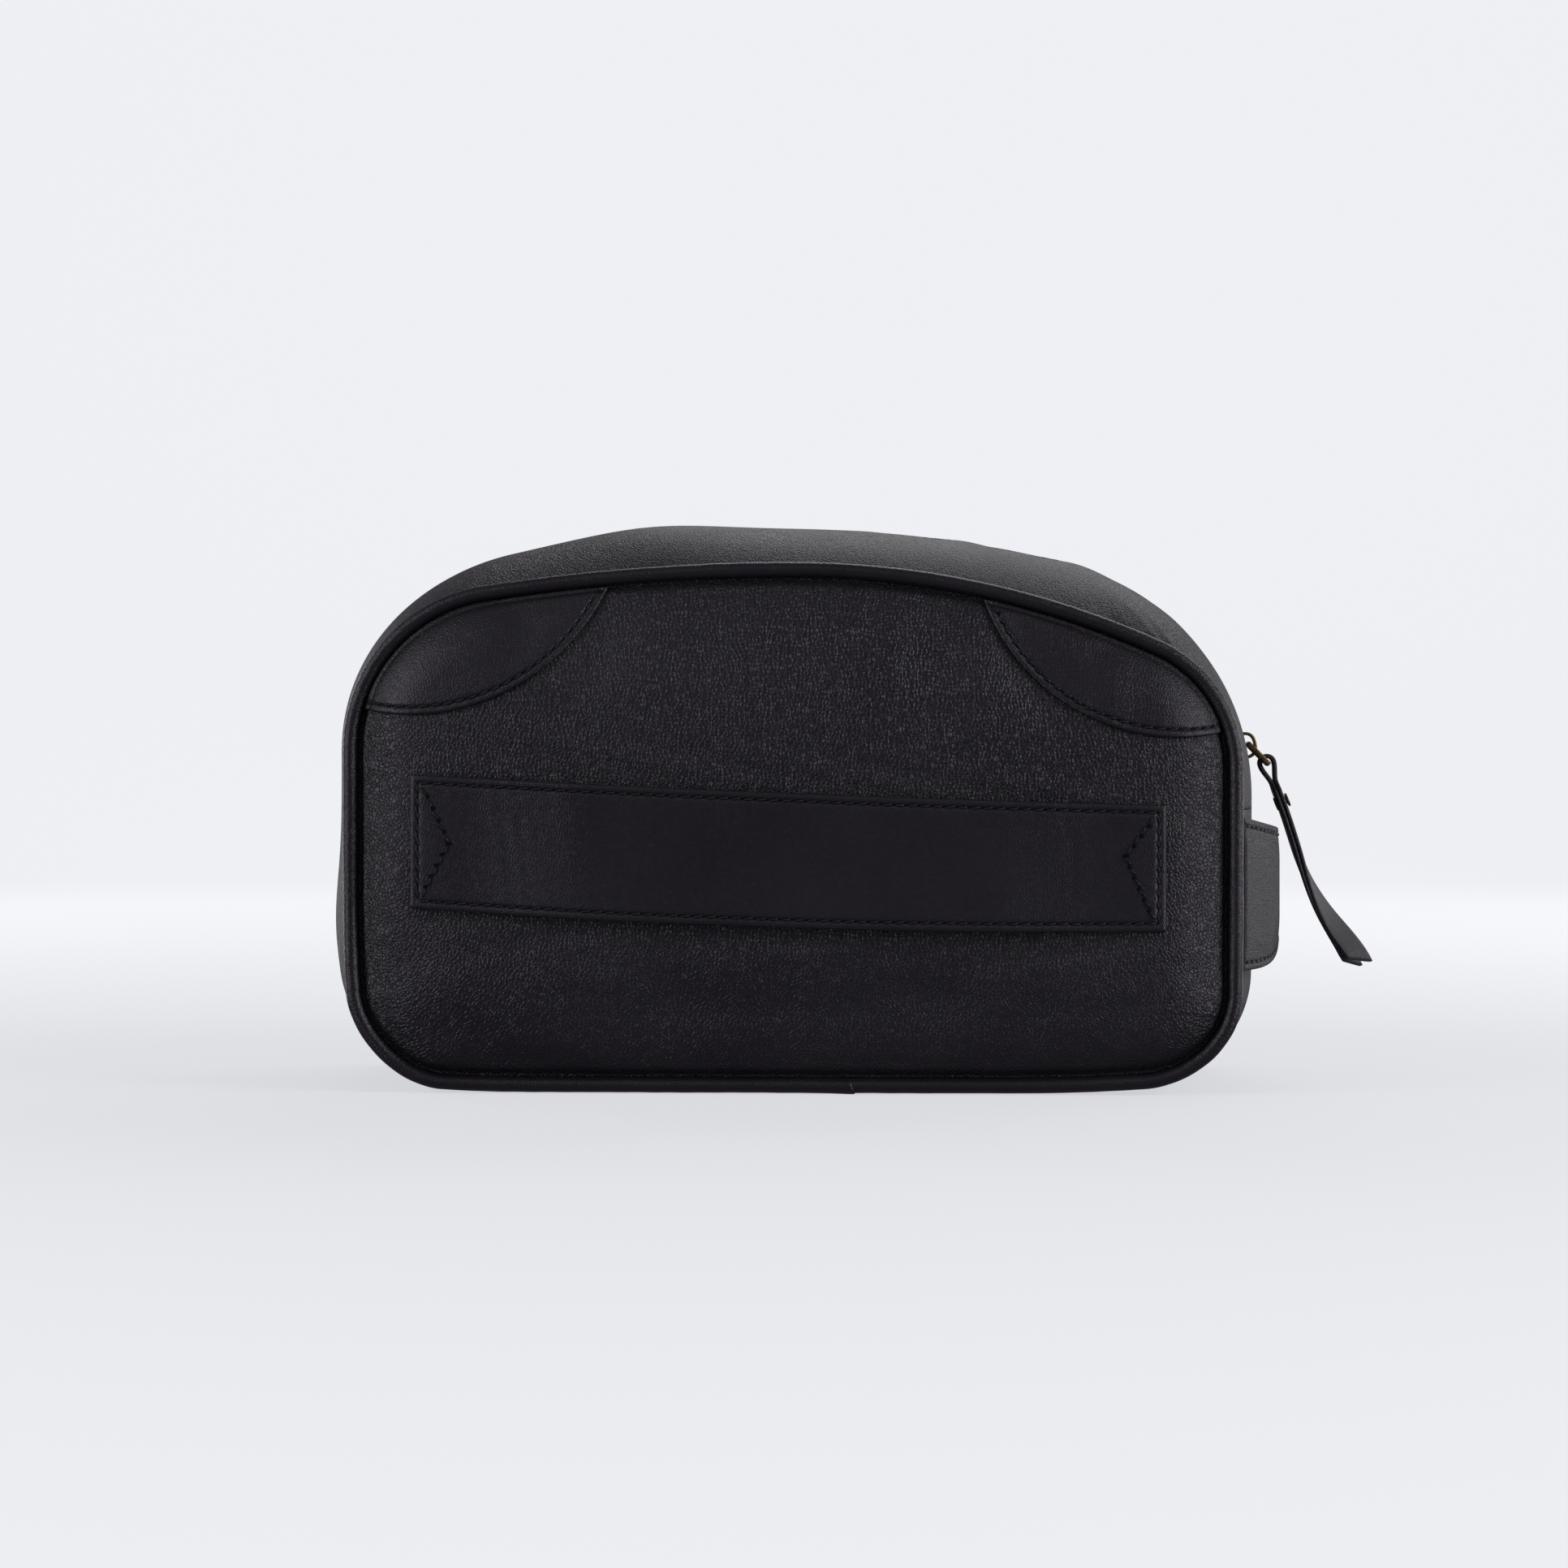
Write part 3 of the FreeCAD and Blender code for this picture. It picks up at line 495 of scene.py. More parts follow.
class Paint:
    """A material and its nodes, with short ways to add and link them."""

    def __init__(self, name):
        self.material = bpy.data.materials.new(name)
        self.material.use_nodes = True
        self.nodes = self.material.node_tree.nodes
        self.links = self.material.node_tree.links
        self.shader = self.nodes["Principled BSDF"]
        self.place = self.nodes.new("ShaderNodeTexCoord").outputs["Object"]

    def set(self, values):
        """Fixed values on the shader's own sockets."""
        for label, value in values.items():
            self.shader.inputs[label].default_value = value
        return self

    def node(self, kind, inputs=(), **settings):
        """A new node with its settings, and its inputs set or linked."""
        made = self.nodes.new("ShaderNode" + kind)
        for label, value in settings.items():
            setattr(made, label, value)
        for label, value in dict(inputs).items():
            socket = made.inputs[label]
            if isinstance(value, bpy.types.NodeSocket):
                self.links.new(value, socket)
            else:
                socket.default_value = value
        return made

    def stretched(self, scale, turn=(0.0, 0.0, 0.0)):
        """Object coordinates turned and stretched."""
        made = self.node("Mapping", {"Vector": self.place, "Scale": scale, "Rotation": turn})
        return made.outputs["Vector"]

    def noise(self, scale, detail=3.0, vector=None, roughness=0.55):
        """Fractal noise, from 0 to 1."""
        made = self.node("TexNoise", {"Vector": vector or self.place, "Scale": scale, "Detail": detail,
                                      "Roughness": roughness})
        return made.outputs["Fac"]

    def cells(self, scale, vector):
        """Distance to the edge of irregular cells."""
        made = self.node("TexVoronoi", {"Vector": vector, "Scale": scale}, feature="DISTANCE_TO_EDGE")
        return made.outputs["Distance"]

    def waves(self, scale, vector=None, along="X"):
        """Even bands, from 0 to 1."""
        made = self.node("TexWave", {"Vector": vector or self.place, "Scale": scale},
                         bands_direction=along)
        return made.outputs["Fac"]

    def sum(self, first, second, weight):
        """first + second * weight."""
        return self.node("Math", {0: second, 1: weight, 2: first}, operation="MULTIPLY_ADD").outputs[0]

    def remap(self, value, low, high, out_low, out_high):
        """Stretches a range of a value to another range."""
        made = self.node("MapRange", {"Value": value, "From Min": low, "From Max": high,
                                      "To Min": out_low, "To Max": out_high})
        return made.outputs["Result"]

    def relief(self, height, distance):
        """Bumps the surface by a height."""
        made = self.node("Bump", {"Height": height, "Distance": distance, "Strength": 1.0})
        self.links.new(made.outputs["Normal"], self.shader.inputs["Normal"])
        return self

    def tint(self, value, low, high):
        """Base colour between two colours by a value."""
        made = self.node("Mix", {0: value, 6: (*low, 1.0), 7: (*high, 1.0)}, data_type="RGBA")
        self.links.new(made.outputs[2], self.shader.inputs["Base Color"])
        return self

    def dull(self, value):
        """Roughness by a value."""
        self.links.new(value, self.shader.inputs["Roughness"])
        return self


WHITE = (1.0, 1.0, 1.0)
BLACK = (0.0, 0.0, 0.0)

# The leather's relief: its depth in metres, how far its cells wander, the part of a cell that is furrow,
# and the scales of its creases and of its worn patches.
GRAIN_DEPTH = 0.0001
GRAIN_WANDER = 0.9
FURROW = 0.25
CREASE_SCALE = 95.0
WEAR_SCALE = 14.0
LEATHER_GLOSS = {"Specular IOR Level": 0.42, "Specular Tint": (0.94, 0.9, 1.0, 1.0)}


def mixed(colour, share, other=WHITE):
    """A colour with a share of another in it."""
    return tuple((1.0 - share) * a + share * b for a, b in zip(colour, other))


def make_leather(name, grain=1.0, depth=1.0, rough=(0.4, 0.52), creases=0.0, colour=None):
    """Finished leather: small cells with furrows between them, broken by noise, and a patchy gloss.
    Creases are longer lines of a stretched noise."""
    paint = Paint(name)
    base = tuple(colour or colours().leather)
    pace = 1.0 / (sizes().grain * grain)
    wander = paint.node("TexNoise", {"Vector": paint.place, "Scale": 0.3 * pace, "Detail": 2.0})
    reach = (GRAIN_WANDER / pace,) * 3
    moved = paint.node("VectorMath", {0: wander.outputs["Color"], 1: reach, 2: paint.place},
                       operation="MULTIPLY_ADD")
    height = paint.remap(paint.cells(pace, moved.outputs["Vector"]), 0.0, FURROW, 0.0, 1.0)
    height = paint.sum(height, paint.noise(1.7 * pace, 3.0), 0.8)
    if creases:
        drawn_out = paint.stretched((1.0, 1.0, 3.0), (0.0, 0.5, 0.0))
        height = paint.sum(height, paint.noise(CREASE_SCALE, 4.0, drawn_out, 0.62), creases)
    paint.relief(height, GRAIN_DEPTH * depth)
    wear = paint.remap(paint.noise(WEAR_SCALE, 4.0), 0.3, 0.7, 0.0, 1.0)
    paint.tint(wear, base, mixed(base, 0.004))
    paint.dull(paint.remap(wear, 0.0, 1.0, *rough))
    return paint.set(LEATHER_GLOSS).material


def make_cloth(name, colour, threads):
    """Plain weave: waves along X and Z, and a cloudy colour."""
    paint = Paint(name)
    warp, weft = (paint.waves(threads, along=axis) for axis in "XZ")
    paint.relief(paint.sum(warp, weft, 1.0), 0.00012)
    paint.tint(paint.noise(60.0), tuple(colour), mixed(colour, 0.012))
    return paint.set({"Roughness": 0.85, "Sheen Weight": 0.15}).material


def make_filling(name, low, high, relief_scale):
    """Foam or cotton: a rough noise in two pale colours."""
    paint = Paint(name)
    paint.relief(paint.noise(relief_scale), 0.0003)
    paint.tint(paint.noise(150.0), low, high)
    return paint.set({"Roughness": 0.92}).material


def make_metal(name, dark, rough):
    """Brass with a patina: darker and duller in patches."""
    paint = Paint(name)
    base = tuple(colours().brass)
    patina = paint.remap(paint.noise(420.0, 4.0), 0.35, 0.65, 0.0, 1.0)
    paint.tint(patina, mixed(base, dark, BLACK), base)
    paint.dull(paint.remap(patina, 0.0, 1.0, *rough))
    paint.relief(patina, 0.00003)
    return paint.set({"Metallic": 1.0}).material


def make_thread(name):
    """Waxed thread: fine slanted bands for its twist, and dull black at the needle's holes, which is
    painted shade.
    """
    paint = Paint(name)
    slanted = paint.stretched((1.0, 1.0, 1.0), (0.6, 0.5, 0.7))
    paint.relief(paint.waves(700.0, slanted), 0.00008)
    # Painted shade: the colour goes to black and dull where the needle holes' shadow is painted.
    dark = paint.node("Attribute", attribute_name="hole_shade").outputs["Fac"]
    paint.tint(dark, tuple(colours().thread), BLACK)
    paint.dull(paint.remap(dark, 0.0, 1.0, 0.42, 1.0))
    return paint.set({"Specular IOR Level": 0.28}).material


def make_materials():
    """Every material of the bag, by a short name."""
    shade = colours()
    return {
        "panel": make_leather("panel_leather", 1.0, 1.2, (0.34, 0.44), creases=1.3),
        "patch": make_leather("patch_leather", 0.8, 0.6, (0.34, 0.44)),
        "piping": make_leather("piping_leather", 0.7, 0.5, (0.28, 0.36)),
        "gusset": make_leather("gusset_leather", 0.9, 1.0, (0.38, 0.48), creases=0.9),
        "strap": make_leather("strap_leather", 0.7, 0.5, (0.34, 0.44)),
        "handle": make_leather("handle_leather", 0.7, 1.2, (0.38, 0.46)),
        "pull": make_leather("pull_leather", 0.7, 0.6, (0.42, 0.5), colour=mixed(shade.leather, 0.01)),
        # The lighter cut edge is a painted highlight.
        "edge": make_leather("cut_edge_highlight", 0.5, 0.6, (0.35, 0.45), colour=tuple(shade.cut_edge_highlight)),
        "thread": make_thread("thread"),
        "lining": make_cloth("lining_cloth", shade.lining, 900.0),
        "tape": make_cloth("zip_tape_weave", shade.tape, 1400.0),
        "foam": make_filling("foam", (0.45, 0.44, 0.4), (0.6, 0.58, 0.53), 900.0),
        "cord": make_filling("cotton_cord", (0.5, 0.48, 0.43), (0.66, 0.64, 0.58), 300.0),
        "teeth": make_metal("brass_teeth", 0.3, (0.28, 0.42)),
        "slider": make_metal("antique_brass", 0.55, (0.3, 0.5)),
    }


MATERIALS = {}


def material(name):
    """One of the materials. They are all made on first use."""
    if not MATERIALS:
        MATERIALS.update(make_materials())
    return MATERIALS[name]


# ------------------------ padded panels

RING_CORNERS = (8.5, 10.5, 12.55, 15.45, 17.5)
PANEL_RINGS = (RIM_INSET, 2.6, 3.0, 3.6, 4.4, 5.3, 6.3, 7.4, 8.6, 9.9, 11.3, 12.8, 14.4, 16.1, 18.0,
               FLAT_INSET)
PADDING_RINGS = (4.4, 5.6, 7.4, 9.9, 12.8, 16.1, FLAT_INSET)
LINING_RINGS = (2.1, 6.0, 12.0, FLAT_INSET)

# Heights of the creases: beside the patches, at the seam's round corners, and beside the hand strap.
PATCH_GATHER = 0.11
CORNER_GATHER = 0.3
STRAP_CREASE = 0.22
CORNERS_MIDDLE = 78.0

# The raster of the simulated swell: its step, first point and count, and each panel's swell once known.
LIFT_STEP = 3.0
LIFT_LOW = np.array([-138.0, -3.0])
LIFT_COUNT = (93, 56)
LIFTS = {}

SETTLE_RINGS = (RIM_INSET, 4.2, 7.0, 10.5, 15.0)
SETTLE_FRAMES = 20
SETTLE_SINK = 0.6
SETTLE_CLOTH = {
    "quality": 5, "mass": 0.4, "tension_stiffness": 12.0, "compression_stiffness": 12.0,
    "shear_stiffness": 6.0, "bending_stiffness": 1.5, "use_pressure": True, "uniform_pressure_force": 4.0,
    "shrink_min": -0.012, "vertex_group_mass": "pinned",
}


def disc_table(columns, rows, insets):
    """A D filled with quads: rings at the given insets, and a table of points inside the last ring.

    The last ring is cut in the middle of its four corners into bottom, right, top and left. Inside, a
    point is the blend of the opposite edges both ways less the blend of the corners (a Coons patch).
    Returns x and z, the faces, and the numbers of the first ring."""
    counts = (columns, rows, columns, rows)
    way = np.concatenate([even_ways(count + 1, start, end)[:-1]
                          for start, end, count in zip(RING_CORNERS, RING_CORNERS[1:], counts)])
    rings = [outline(way, 0.0, inset)[0] for inset in insets]
    edge = np.concatenate([rings[-1], rings[-1][:1]])
    turns = np.cumsum((0,) + counts)
    bottom, right, top, left = [edge[a: b + 1] for a, b in zip(turns, turns[1:])]
    top, left = top[::-1], left[::-1]
    v, u = np.meshgrid(np.linspace(0, 1, rows + 1), np.linspace(0, 1, columns + 1), indexing="ij")
    u, v = u[..., None], v[..., None]
    inner = (1 - v) * bottom[None] + v * top[None] + (1 - u) * left[:, None] + u * right[:, None]
    inner = inner - (1 - u) * (1 - v) * bottom[0] - u * (1 - v) * bottom[-1]
    inner = inner - (1 - u) * v * top[0] - u * v * top[-1]
    faces = [grid_faces(rows + 1, columns + 1)]
    loop = edge_loop(rows + 1, columns + 1)
    count = (rows + 1) * (columns + 1)
    for _ in rings[:-1]:
        outer = count + np.arange(len(way))
        faces.append(strip_faces(loop, outer))
        loop = outer
        count += len(way)
    points = np.concatenate([inner.reshape(-1, 2)] + rings[-2::-1])
    return points, np.concatenate(faces), loop


def pillow(inside):
    """How far a panel stands in front of its rim: a round shoulder, depth * (1 - (1 - t)^2)^0.75."""
    t = np.clip((inside - RIM_INSET - SEAM_GROOVE) / (FLAT_INSET - RIM_INSET - SEAM_GROOVE), 0.0, 1.0)
    return PILLOW * (1.0 - (1.0 - t) ** 2) ** 0.75


def puckers(x, z, inside):
    """Creases of the panel's leather: short gathers square to each patch's edge and to the seam at the
    round corners, and long soft lines above and below the hand strap. Each is a wave times a bump."""
    pitch = millimetres(sizes().stitch_pitch)
    height = np.zeros_like(x)
    for number, ((cx, cz), radius) in enumerate(PATCHES.values()):
        away = np.hypot(x - cx, z - cz) - radius
        along = np.arctan2(z - cz, x - cx) * radius
        wave = np.cos(2.0 * math.pi * along / pitch + 1.2 * ripple(along * 0.3, 20 + number))
        height += PATCH_GATHER * wave * np.exp(-np.maximum(away, 0.0) / 2.2) * (away > -1.0)
    corner = smooth((np.hypot(x / 132.0, (z - CORNERS_MIDDLE) / 80.0) - 0.86) / 0.16)
    turn = np.arctan2(z - CORNERS_MIDDLE, x)
    gather = ripple(turn * 62.0, 31, 6) * ripple(inside * 0.35 + turn * 9.0, 32)
    height += CORNER_GATHER * corner * gather * bump(inside, 9.0, 9.0)
    line = 75.8 - 0.04 * (x + 112.0)
    above = ripple(x * 0.12 + z * 0.55, 33) * bump(z, line + 27.0, 6.0)
    below = ripple(x * 0.10 - z * 0.50, 34) * bump(z, line - 26.0, 6.0)
    return height + STRAP_CREASE * (above + below) * smooth((118.0 - np.abs(x)) / 20.0)


def lift_at(x, z, side):
    """The simulated swell at points, from its raster by blending the four raster points round each."""
    if side not in LIFTS:
        return np.zeros_like(x)
    raster = LIFTS[side]
    u = np.clip((x - LIFT_LOW[0]) / LIFT_STEP, 0.0, LIFT_COUNT[0] - 1.001)
    v = np.clip((z - LIFT_LOW[1]) / LIFT_STEP, 0.0, LIFT_COUNT[1] - 1.001)
    i, j = u.astype(int), v.astype(int)
    a, b = u - i, v - j
    low = raster[i, j] * (1 - a) + raster[i + 1, j] * a
    high = raster[i, j + 1] * (1 - a) + raster[i + 1, j + 1] * a
    return low * (1 - b) + high * b


def panel_out(x, z, side, detail=1.0):
    """How far a panel's face stands in front of its rim: pillow, creases and simulated swell."""
    inside = inset_of(x, z)
    free = smooth((inside - RIM_INSET) / 5.0)
    return pillow(inside) + free * (detail * puckers(x, z, inside) + lift_at(x, z, side))


def panel_point(x, z, out, side):
    """A point of a panel, front or back, from its place and how far it stands out."""
    return np.stack([x, SIGN[side] * (PANEL_BACK + out), z], axis=-1)


def blurred(table):
    """A table blurred by 1 2 1 both ways, with its border as it was."""
    soft = table.copy()
    beside = table[2:, 1:-1] + table[:-2, 1:-1] + table[1:-1, 2:] + table[1:-1, :-2]
    corners = table[2:, 2:] + table[:-2, :-2] + table[2:, :-2] + table[:-2, 2:]
    soft[1:-1, 1:-1] = (4 * table[1:-1, 1:-1] + 2 * beside + corners) / 16.0
    return soft


def settle_panel(side):
    """Lets a panel's skin swell on its padding. The cut shape, made a little too large by negative
    shrinking, is pinned at its rim and pushed outwards by an even pressure, and the cloth finds its own
    swells and dents. How far it moved, limited by the swell size, is kept on a raster: each point gives
    its value to the nearest raster point, and the sums are blurred and divided by their blurred counts."""
    flat, faces, _ = disc_table(64, 34, SETTLE_RINGS)
    x, z = flat.T
    inside = inset_of(x, z)
    # A shallow, seeded unevenness decides which way each buckle falls.
    seeded = 0.35 * ripple(x * 0.07 + z * 0.03, 41) * ripple(z * 0.09, 42)
    start = panel_point(x, z, pillow(inside) - SETTLE_SINK + seeded * smooth(inside / 20.0), side)
    skin = add_mesh("settling_" + side, (start, [faces if side == "front" else faces[:, ::-1]]),
                    material("panel"), closed=False)
    pinned = skin.vertex_groups.new(name="pinned")
    pinned.add([int(number) for number in np.flatnonzero(inside < 3.5)], 1.0, "REPLACE")
    cloth = skin.modifiers.new("cloth", "CLOTH")
    for label, value in SETTLE_CLOTH.items():
        setattr(cloth.settings, label, value)
    cloth.settings.effector_weights.gravity = 0.0
    cloth.point_cache.frame_start = 1
    cloth.point_cache.frame_end = SETTLE_FRAMES
    for number in range(1, SETTLE_FRAMES + 1):
        bpy.context.scene.frame_set(number)
    settled = skin.evaluated_get(bpy.context.evaluated_depsgraph_get()).to_mesh()
    moved = np.zeros(len(start) * 3, np.float32)
    settled.vertices.foreach_get("co", moved)
    bpy.data.objects.remove(skin)
    bpy.context.scene.frame_set(1)
    rise = SIGN[side] * (moved.reshape(-1, 3)[:, 1] / MM - start[:, 1])
    limit = millimetres(sizes().swell)
    rise = limit * np.tanh((rise - SETTLE_SINK) / limit)
    place = tuple(np.rint((flat - LIFT_LOW) / LIFT_STEP).astype(int).T)
    tables = []
    for amount in (rise, 1.0):
        table = np.zeros(LIFT_COUNT)
        np.add.at(table, place, amount)
        tables.append(blurred(blurred(table)))
    LIFTS[side] = tables[0] / np.maximum(tables[1], 1e-3)


def make_panel(side):
    """Leather skin, padding and lining of one panel."""
    settle_panel(side)
    flat, faces, rim = disc_table(176, 96, PANEL_RINGS)
    x, z = flat.T
    inside = inset_of(x, z)
    skin = []
    for deeper in (0.0, LEATHER):
        out = np.maximum(panel_out(x, z, side, 1.0 if deeper == 0.0 else 0.0), 0.0)
        # The rim is pared thin, so that its face dips into the seam.
        dip = SEAM_DIP * (1.0 - smooth((inside - RIM_INSET) / 2.6)) * (deeper == 0.0)
        skin.append(panel_point(x, z, out - dip - deeper, side))
    panel = add_mesh(side + "_panel_leather", plate(*skin, faces, rim), material("panel"))
    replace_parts(bend_with_lip(panel), side + "_panel", side + "_panel_top")

    flat, faces, rim = disc_table(72, 40, PADDING_RINGS)
    x, z = flat.T
    face = panel_out(x, z, side, 0.0) - LEATHER - 0.15 - 0.8 * bump(inset_of(x, z), PADDING_RINGS[0], 2.0)
    floor = np.full_like(x, -LEATHER)
    pad = [panel_point(x, z, out, side) for out in (np.maximum(face, floor + 0.3), floor)]
    padding = add_mesh(side + "_padding_foam", plate(*pad, faces, rim), material("foam"))
    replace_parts(bend_with_lip(padding), side + "_padding", side + "_padding_top")

    flat, faces, rim = disc_table(72, 40, LINING_RINGS)
    x, z = flat.T
    wave = 0.18 * ripple(x * 0.09 + z * 0.05, 51) * ripple(z * 0.11, 52)
    depths = (-LINING_FRONT - 0.1 + wave, -LINING_BACK + 0.1 + wave)
    cloth = [np.stack([x, SIGN[side] * depth, z], axis=-1) for depth in depths]
    lining = add_mesh(side + "_lining_cloth", plate(*cloth, faces, rim), material("lining"))
    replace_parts(bend_with_lip(lining), side + "_lining", side + "_lining_top")
    # A quad's area is half of the cross product of its diagonals.
    a, b, c, d = np.moveaxis(cloth[0][faces], 1, 0)
    area = 0.5 * np.linalg.norm(np.cross(c - a, d - b), axis=1).sum()


# ------------------------ stitches

STITCH_SLANT = 0.22
STITCH_REACH = 0.43


def stitch_shape():
    """One stitch, from -1 to 1, and how dark each of its points is. The thread is round and dips at both
    ends: rings of six points stand along it, and each ring's height is a flat arch, 1 - a^4. A dark oval
    at one end is painted shade: it stands for the shadow inside the needle's hole."""
    a = np.array([-0.94, -0.78, -0.35, 0.35, 0.78, 0.94])
    size = np.array([0.35, 0.85, 1.0, 1.0, 0.85, 0.35])
    turn = ring_turns(6)
    ring = np.stack([0.0 * turn, np.cos(turn), np.sin(turn)], axis=1)
    sections = ring[None] * size[:, None, None]
    sections[..., 0] = a[:, None]
    sections[..., 2] += (1.5 * (1.0 - a**4) - 1.1)[:, None]
    thread = tube(sections)
    turn = ring_turns(8)
    disc = np.stack([1.16 + 0.42 * np.cos(turn), 1.7 * np.sin(turn), 0.0 * turn], axis=1)
    # A dark oval of painted shade, where the needle's hole holds shadow.
    hole = tube(np.stack([disc - [0.0, 0.0, 1.2], disc + [0.0, 0.0, 0.12]]))
    dark = np.concatenate([np.zeros(len(thread[0])), np.ones(len(hole[0]))])
    return joined([thread, hole]), dark


def stitch_row(line, outward, margin=0.0):
    """A row of stitches along a line of points, on a surface with the given outward directions. Each lies
    slightly askew, and its reach either way is a share of its step."""
    radius = 0.5 * millimetres(sizes().thread)
    holes = even_places(running_length(line)[-1], millimetres(sizes().stitch_pitch), margin)
    start, end = along_line(line, holes[:-1]), along_line(line, holes[1:])
    middle = 0.5 * (start + end)
    step = np.linalg.norm(end - start, axis=1, keepdims=True)
    along = unit(end - start)
    halfway = 0.5 * (holes[:-1] + holes[1:])
    up = unit(along_line(np.concatenate([line, outward], axis=1), halfway)[:, 3:])
    along = unit(along + STITCH_SLANT * unit(np.cross(up, along)))
    side = unit(np.cross(up, along))
    axes = np.stack([along * STITCH_REACH * step, side * radius, up * radius], axis=1)
    return repeated(stitch_shape()[0], middle, axes)


def add_stitches(name, rows):
    """One object with several rows of stitches, and the painted shade of their needle holes as an attribute
    of their points.
    """
    thing = add_mesh(name, joined(rows), material("thread"))
    dark = stitch_shape()[1]
    # Each point's share of the painted shade in the needle holes.
    shade = thing.data.attributes.new("hole_shade", "FLOAT", "POINT")
    values = np.tile(dark, len(thing.data.vertices) // len(dark))
    shade.data.foreach_set("value", values.astype(np.float32))
    return thing


def near_edge(inset, groove):
    """Distances from a cut edge, crowded where the edge is round and in the stitches' groove."""
    return np.concatenate([(0.0, 0.12, 0.3, 0.6, 1.0, 1.5), inset + np.array(groove)])


def sewn_edge(away):
    """Height of leather near its cut edge: a low ridge, less the edge's rounding and the groove."""
    groove = bump(away, millimetres(sizes().stitch_inset), 0.4)
    return 0.1 * bump(away, 1.1, 0.6) - 0.5 * np.exp(-away / 0.2) - 0.42 * groove


# ------------------------ corner patches

PATCH_GROOVE = (-0.55, -0.25, 0.0, 0.25, 0.55, 1.1, 1.8)


def patch_reach(centre, radius):
    """For angles round a patch's centre: how far in from its round edge the panel's rim lies. The part of
    the rim inside the circle is turned to polar form and read at each angle."""
    fine = even_ways(3000)
    rim = outline(fine, 0.0, RIM_INSET + 0.3)[0]
    arm = rim - np.array(centre)
    distance = np.hypot(*arm.T)
    angle = np.mod(np.arctan2(arm[:, 1], arm[:, 0]), 2.0 * math.pi)
    near = distance < radius
    order = np.argsort(angle[near])
    angle, distance = angle[near][order], distance[near][order]
    turns = np.linspace(angle[0], angle[-1], 161)
    return turns, radius - np.interp(turns, angle, distance)


def make_patches(side):
    """Both corner patches of one panel, and their stitches."""
    inset = millimetres(sizes().stitch_inset)
    pitch = millimetres(sizes().stitch_pitch)
    edge = near_edge(inset, PATCH_GROOVE)
    share = np.linspace(0.0, 1.0, 30)[1:]
    rows = []
    for name, (centre, radius) in PATCHES.items():
        turns, reach = patch_reach(centre, radius)
        reach = np.maximum(reach, 0.05)[:, None]
        close = edge[None] * np.minimum(1.0, reach / (2.0 * edge[-1]))
        inner = close[:, -1:] + (reach - close[:, -1:]) * share[None]
        away = np.concatenate([close, inner], axis=1)
        arm = radius - away
        x = centre[0] + arm * np.cos(turns)[:, None]
        z = centre[1] + arm * np.sin(turns)[:, None]
        base = panel_out(x, z, side, 0.25)
        thick = PATCH_LEATHER * (1.0 - 0.4 * np.exp(-away / 0.18)) + 0.12 * bump(away, 1.0, 0.7)
        thick = thick - 0.5 * bump(away, inset, 0.42) - 0.25 * smooth((3.0 - (reach - away)) / 3.0)
        wave = 0.05 * np.cos(2 * math.pi * turns * radius / pitch)[:, None]
        thick = thick + wave * bump(away, inset, 1.2)
        top = panel_point(x, z, base + thick, side)
        under = panel_point(x, z, base - 0.05, side)
        patch = add_slab(f"{side}_{name}_patch_leather", top, under, "patch")
        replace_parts(bend_with_lip(patch), f"{side}_{name}_patch")
        column = np.argmin(np.abs(edge - inset))
        line = top[3:-3, column]
        outward = np.tile([0.0, SIGN[side], 0.0], (len(line), 1))
        rows.append(stitch_row(line + outward * 0.12, outward, margin=1.0))
    stitches = add_stitches(side + "_patch_stitches", rows)
    bend_with_lip(stitches)


# ------------------------ piping

LAP_X = 18.0
LAP_LENGTH = 13.0
LAP_HEIGHT = 0.32
CORD_RADIUS = 1.45


def seam_tube(way, turn, arm, side):
    """A tube along one seam: a point is the seam's line plus arm * (normal * cos + depth * sin)."""
    line, normal = outline(way)
    arm = np.broadcast_to(arm, (len(way), len(turn)))
    across = np.cos(turn)[None, :, None] * normal[:, None, :] * arm[..., None]
    x, z = np.moveaxis(line[:, None, :] + across, -1, 0)
    y = SIGN[side] * (SEAM_DEPTH + np.sin(turn)[None] * arm)
    return tube(np.stack([x, y, z], axis=-1), close=True)


def make_piping(side):
    """Leather round a cord along one seam. The leather's end laps over its start on the base, where it
    stands out by its own thickness."""
    lap_way = (LAP_X + SEAM["half"] - SEAM["corner"]) / (2.0 * (SEAM["half"] - SEAM["corner"]))
    near = lap_way + np.linspace(-0.1, 0.1, 161)
    way = np.unique(np.concatenate([even_ways(620)[:-1], near]))
    line = outline(way)[0]
    turn = ring_turns(36)
    run = running_length(line)
    past = (LAP_X - line[:, 0])[:, None] + 0.9 * np.cos(turn)[None]
    on_base = (way < 1.0)[:, None]
    lap = LAP_HEIGHT * smooth(past / 0.35 + 0.5) * smooth((LAP_LENGTH - past) / LAP_LENGTH) * on_base
    sewn = smooth((np.cos(turn + math.pi) - 0.2) / 0.8)[None]
    uneven = 0.05 * ripple(run * 0.12, 61)[:, None] + 0.03 * ripple(run * 0.5, 62)[:, None] * np.cos(turn)
    arm = millimetres(sizes().piping_radius) - 0.06 + uneven + lap * (1.0 - sewn)
    cover = add_mesh(side + "_piping_cover", seam_tube(way, turn, arm, side), material("piping"))
    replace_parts(bend_with_lip(cover), side + "_piping", side + "_piping_top")

    cord = seam_tube(even_ways(300)[:-1], ring_turns(12), CORD_RADIUS, side)
    core = bend_with_lip(add_mesh(side + "_piping_core", cord, material("cord")))
    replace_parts(core, side + "_piping_cord", side + "_piping_cord_top")


# ------------------------ gusset

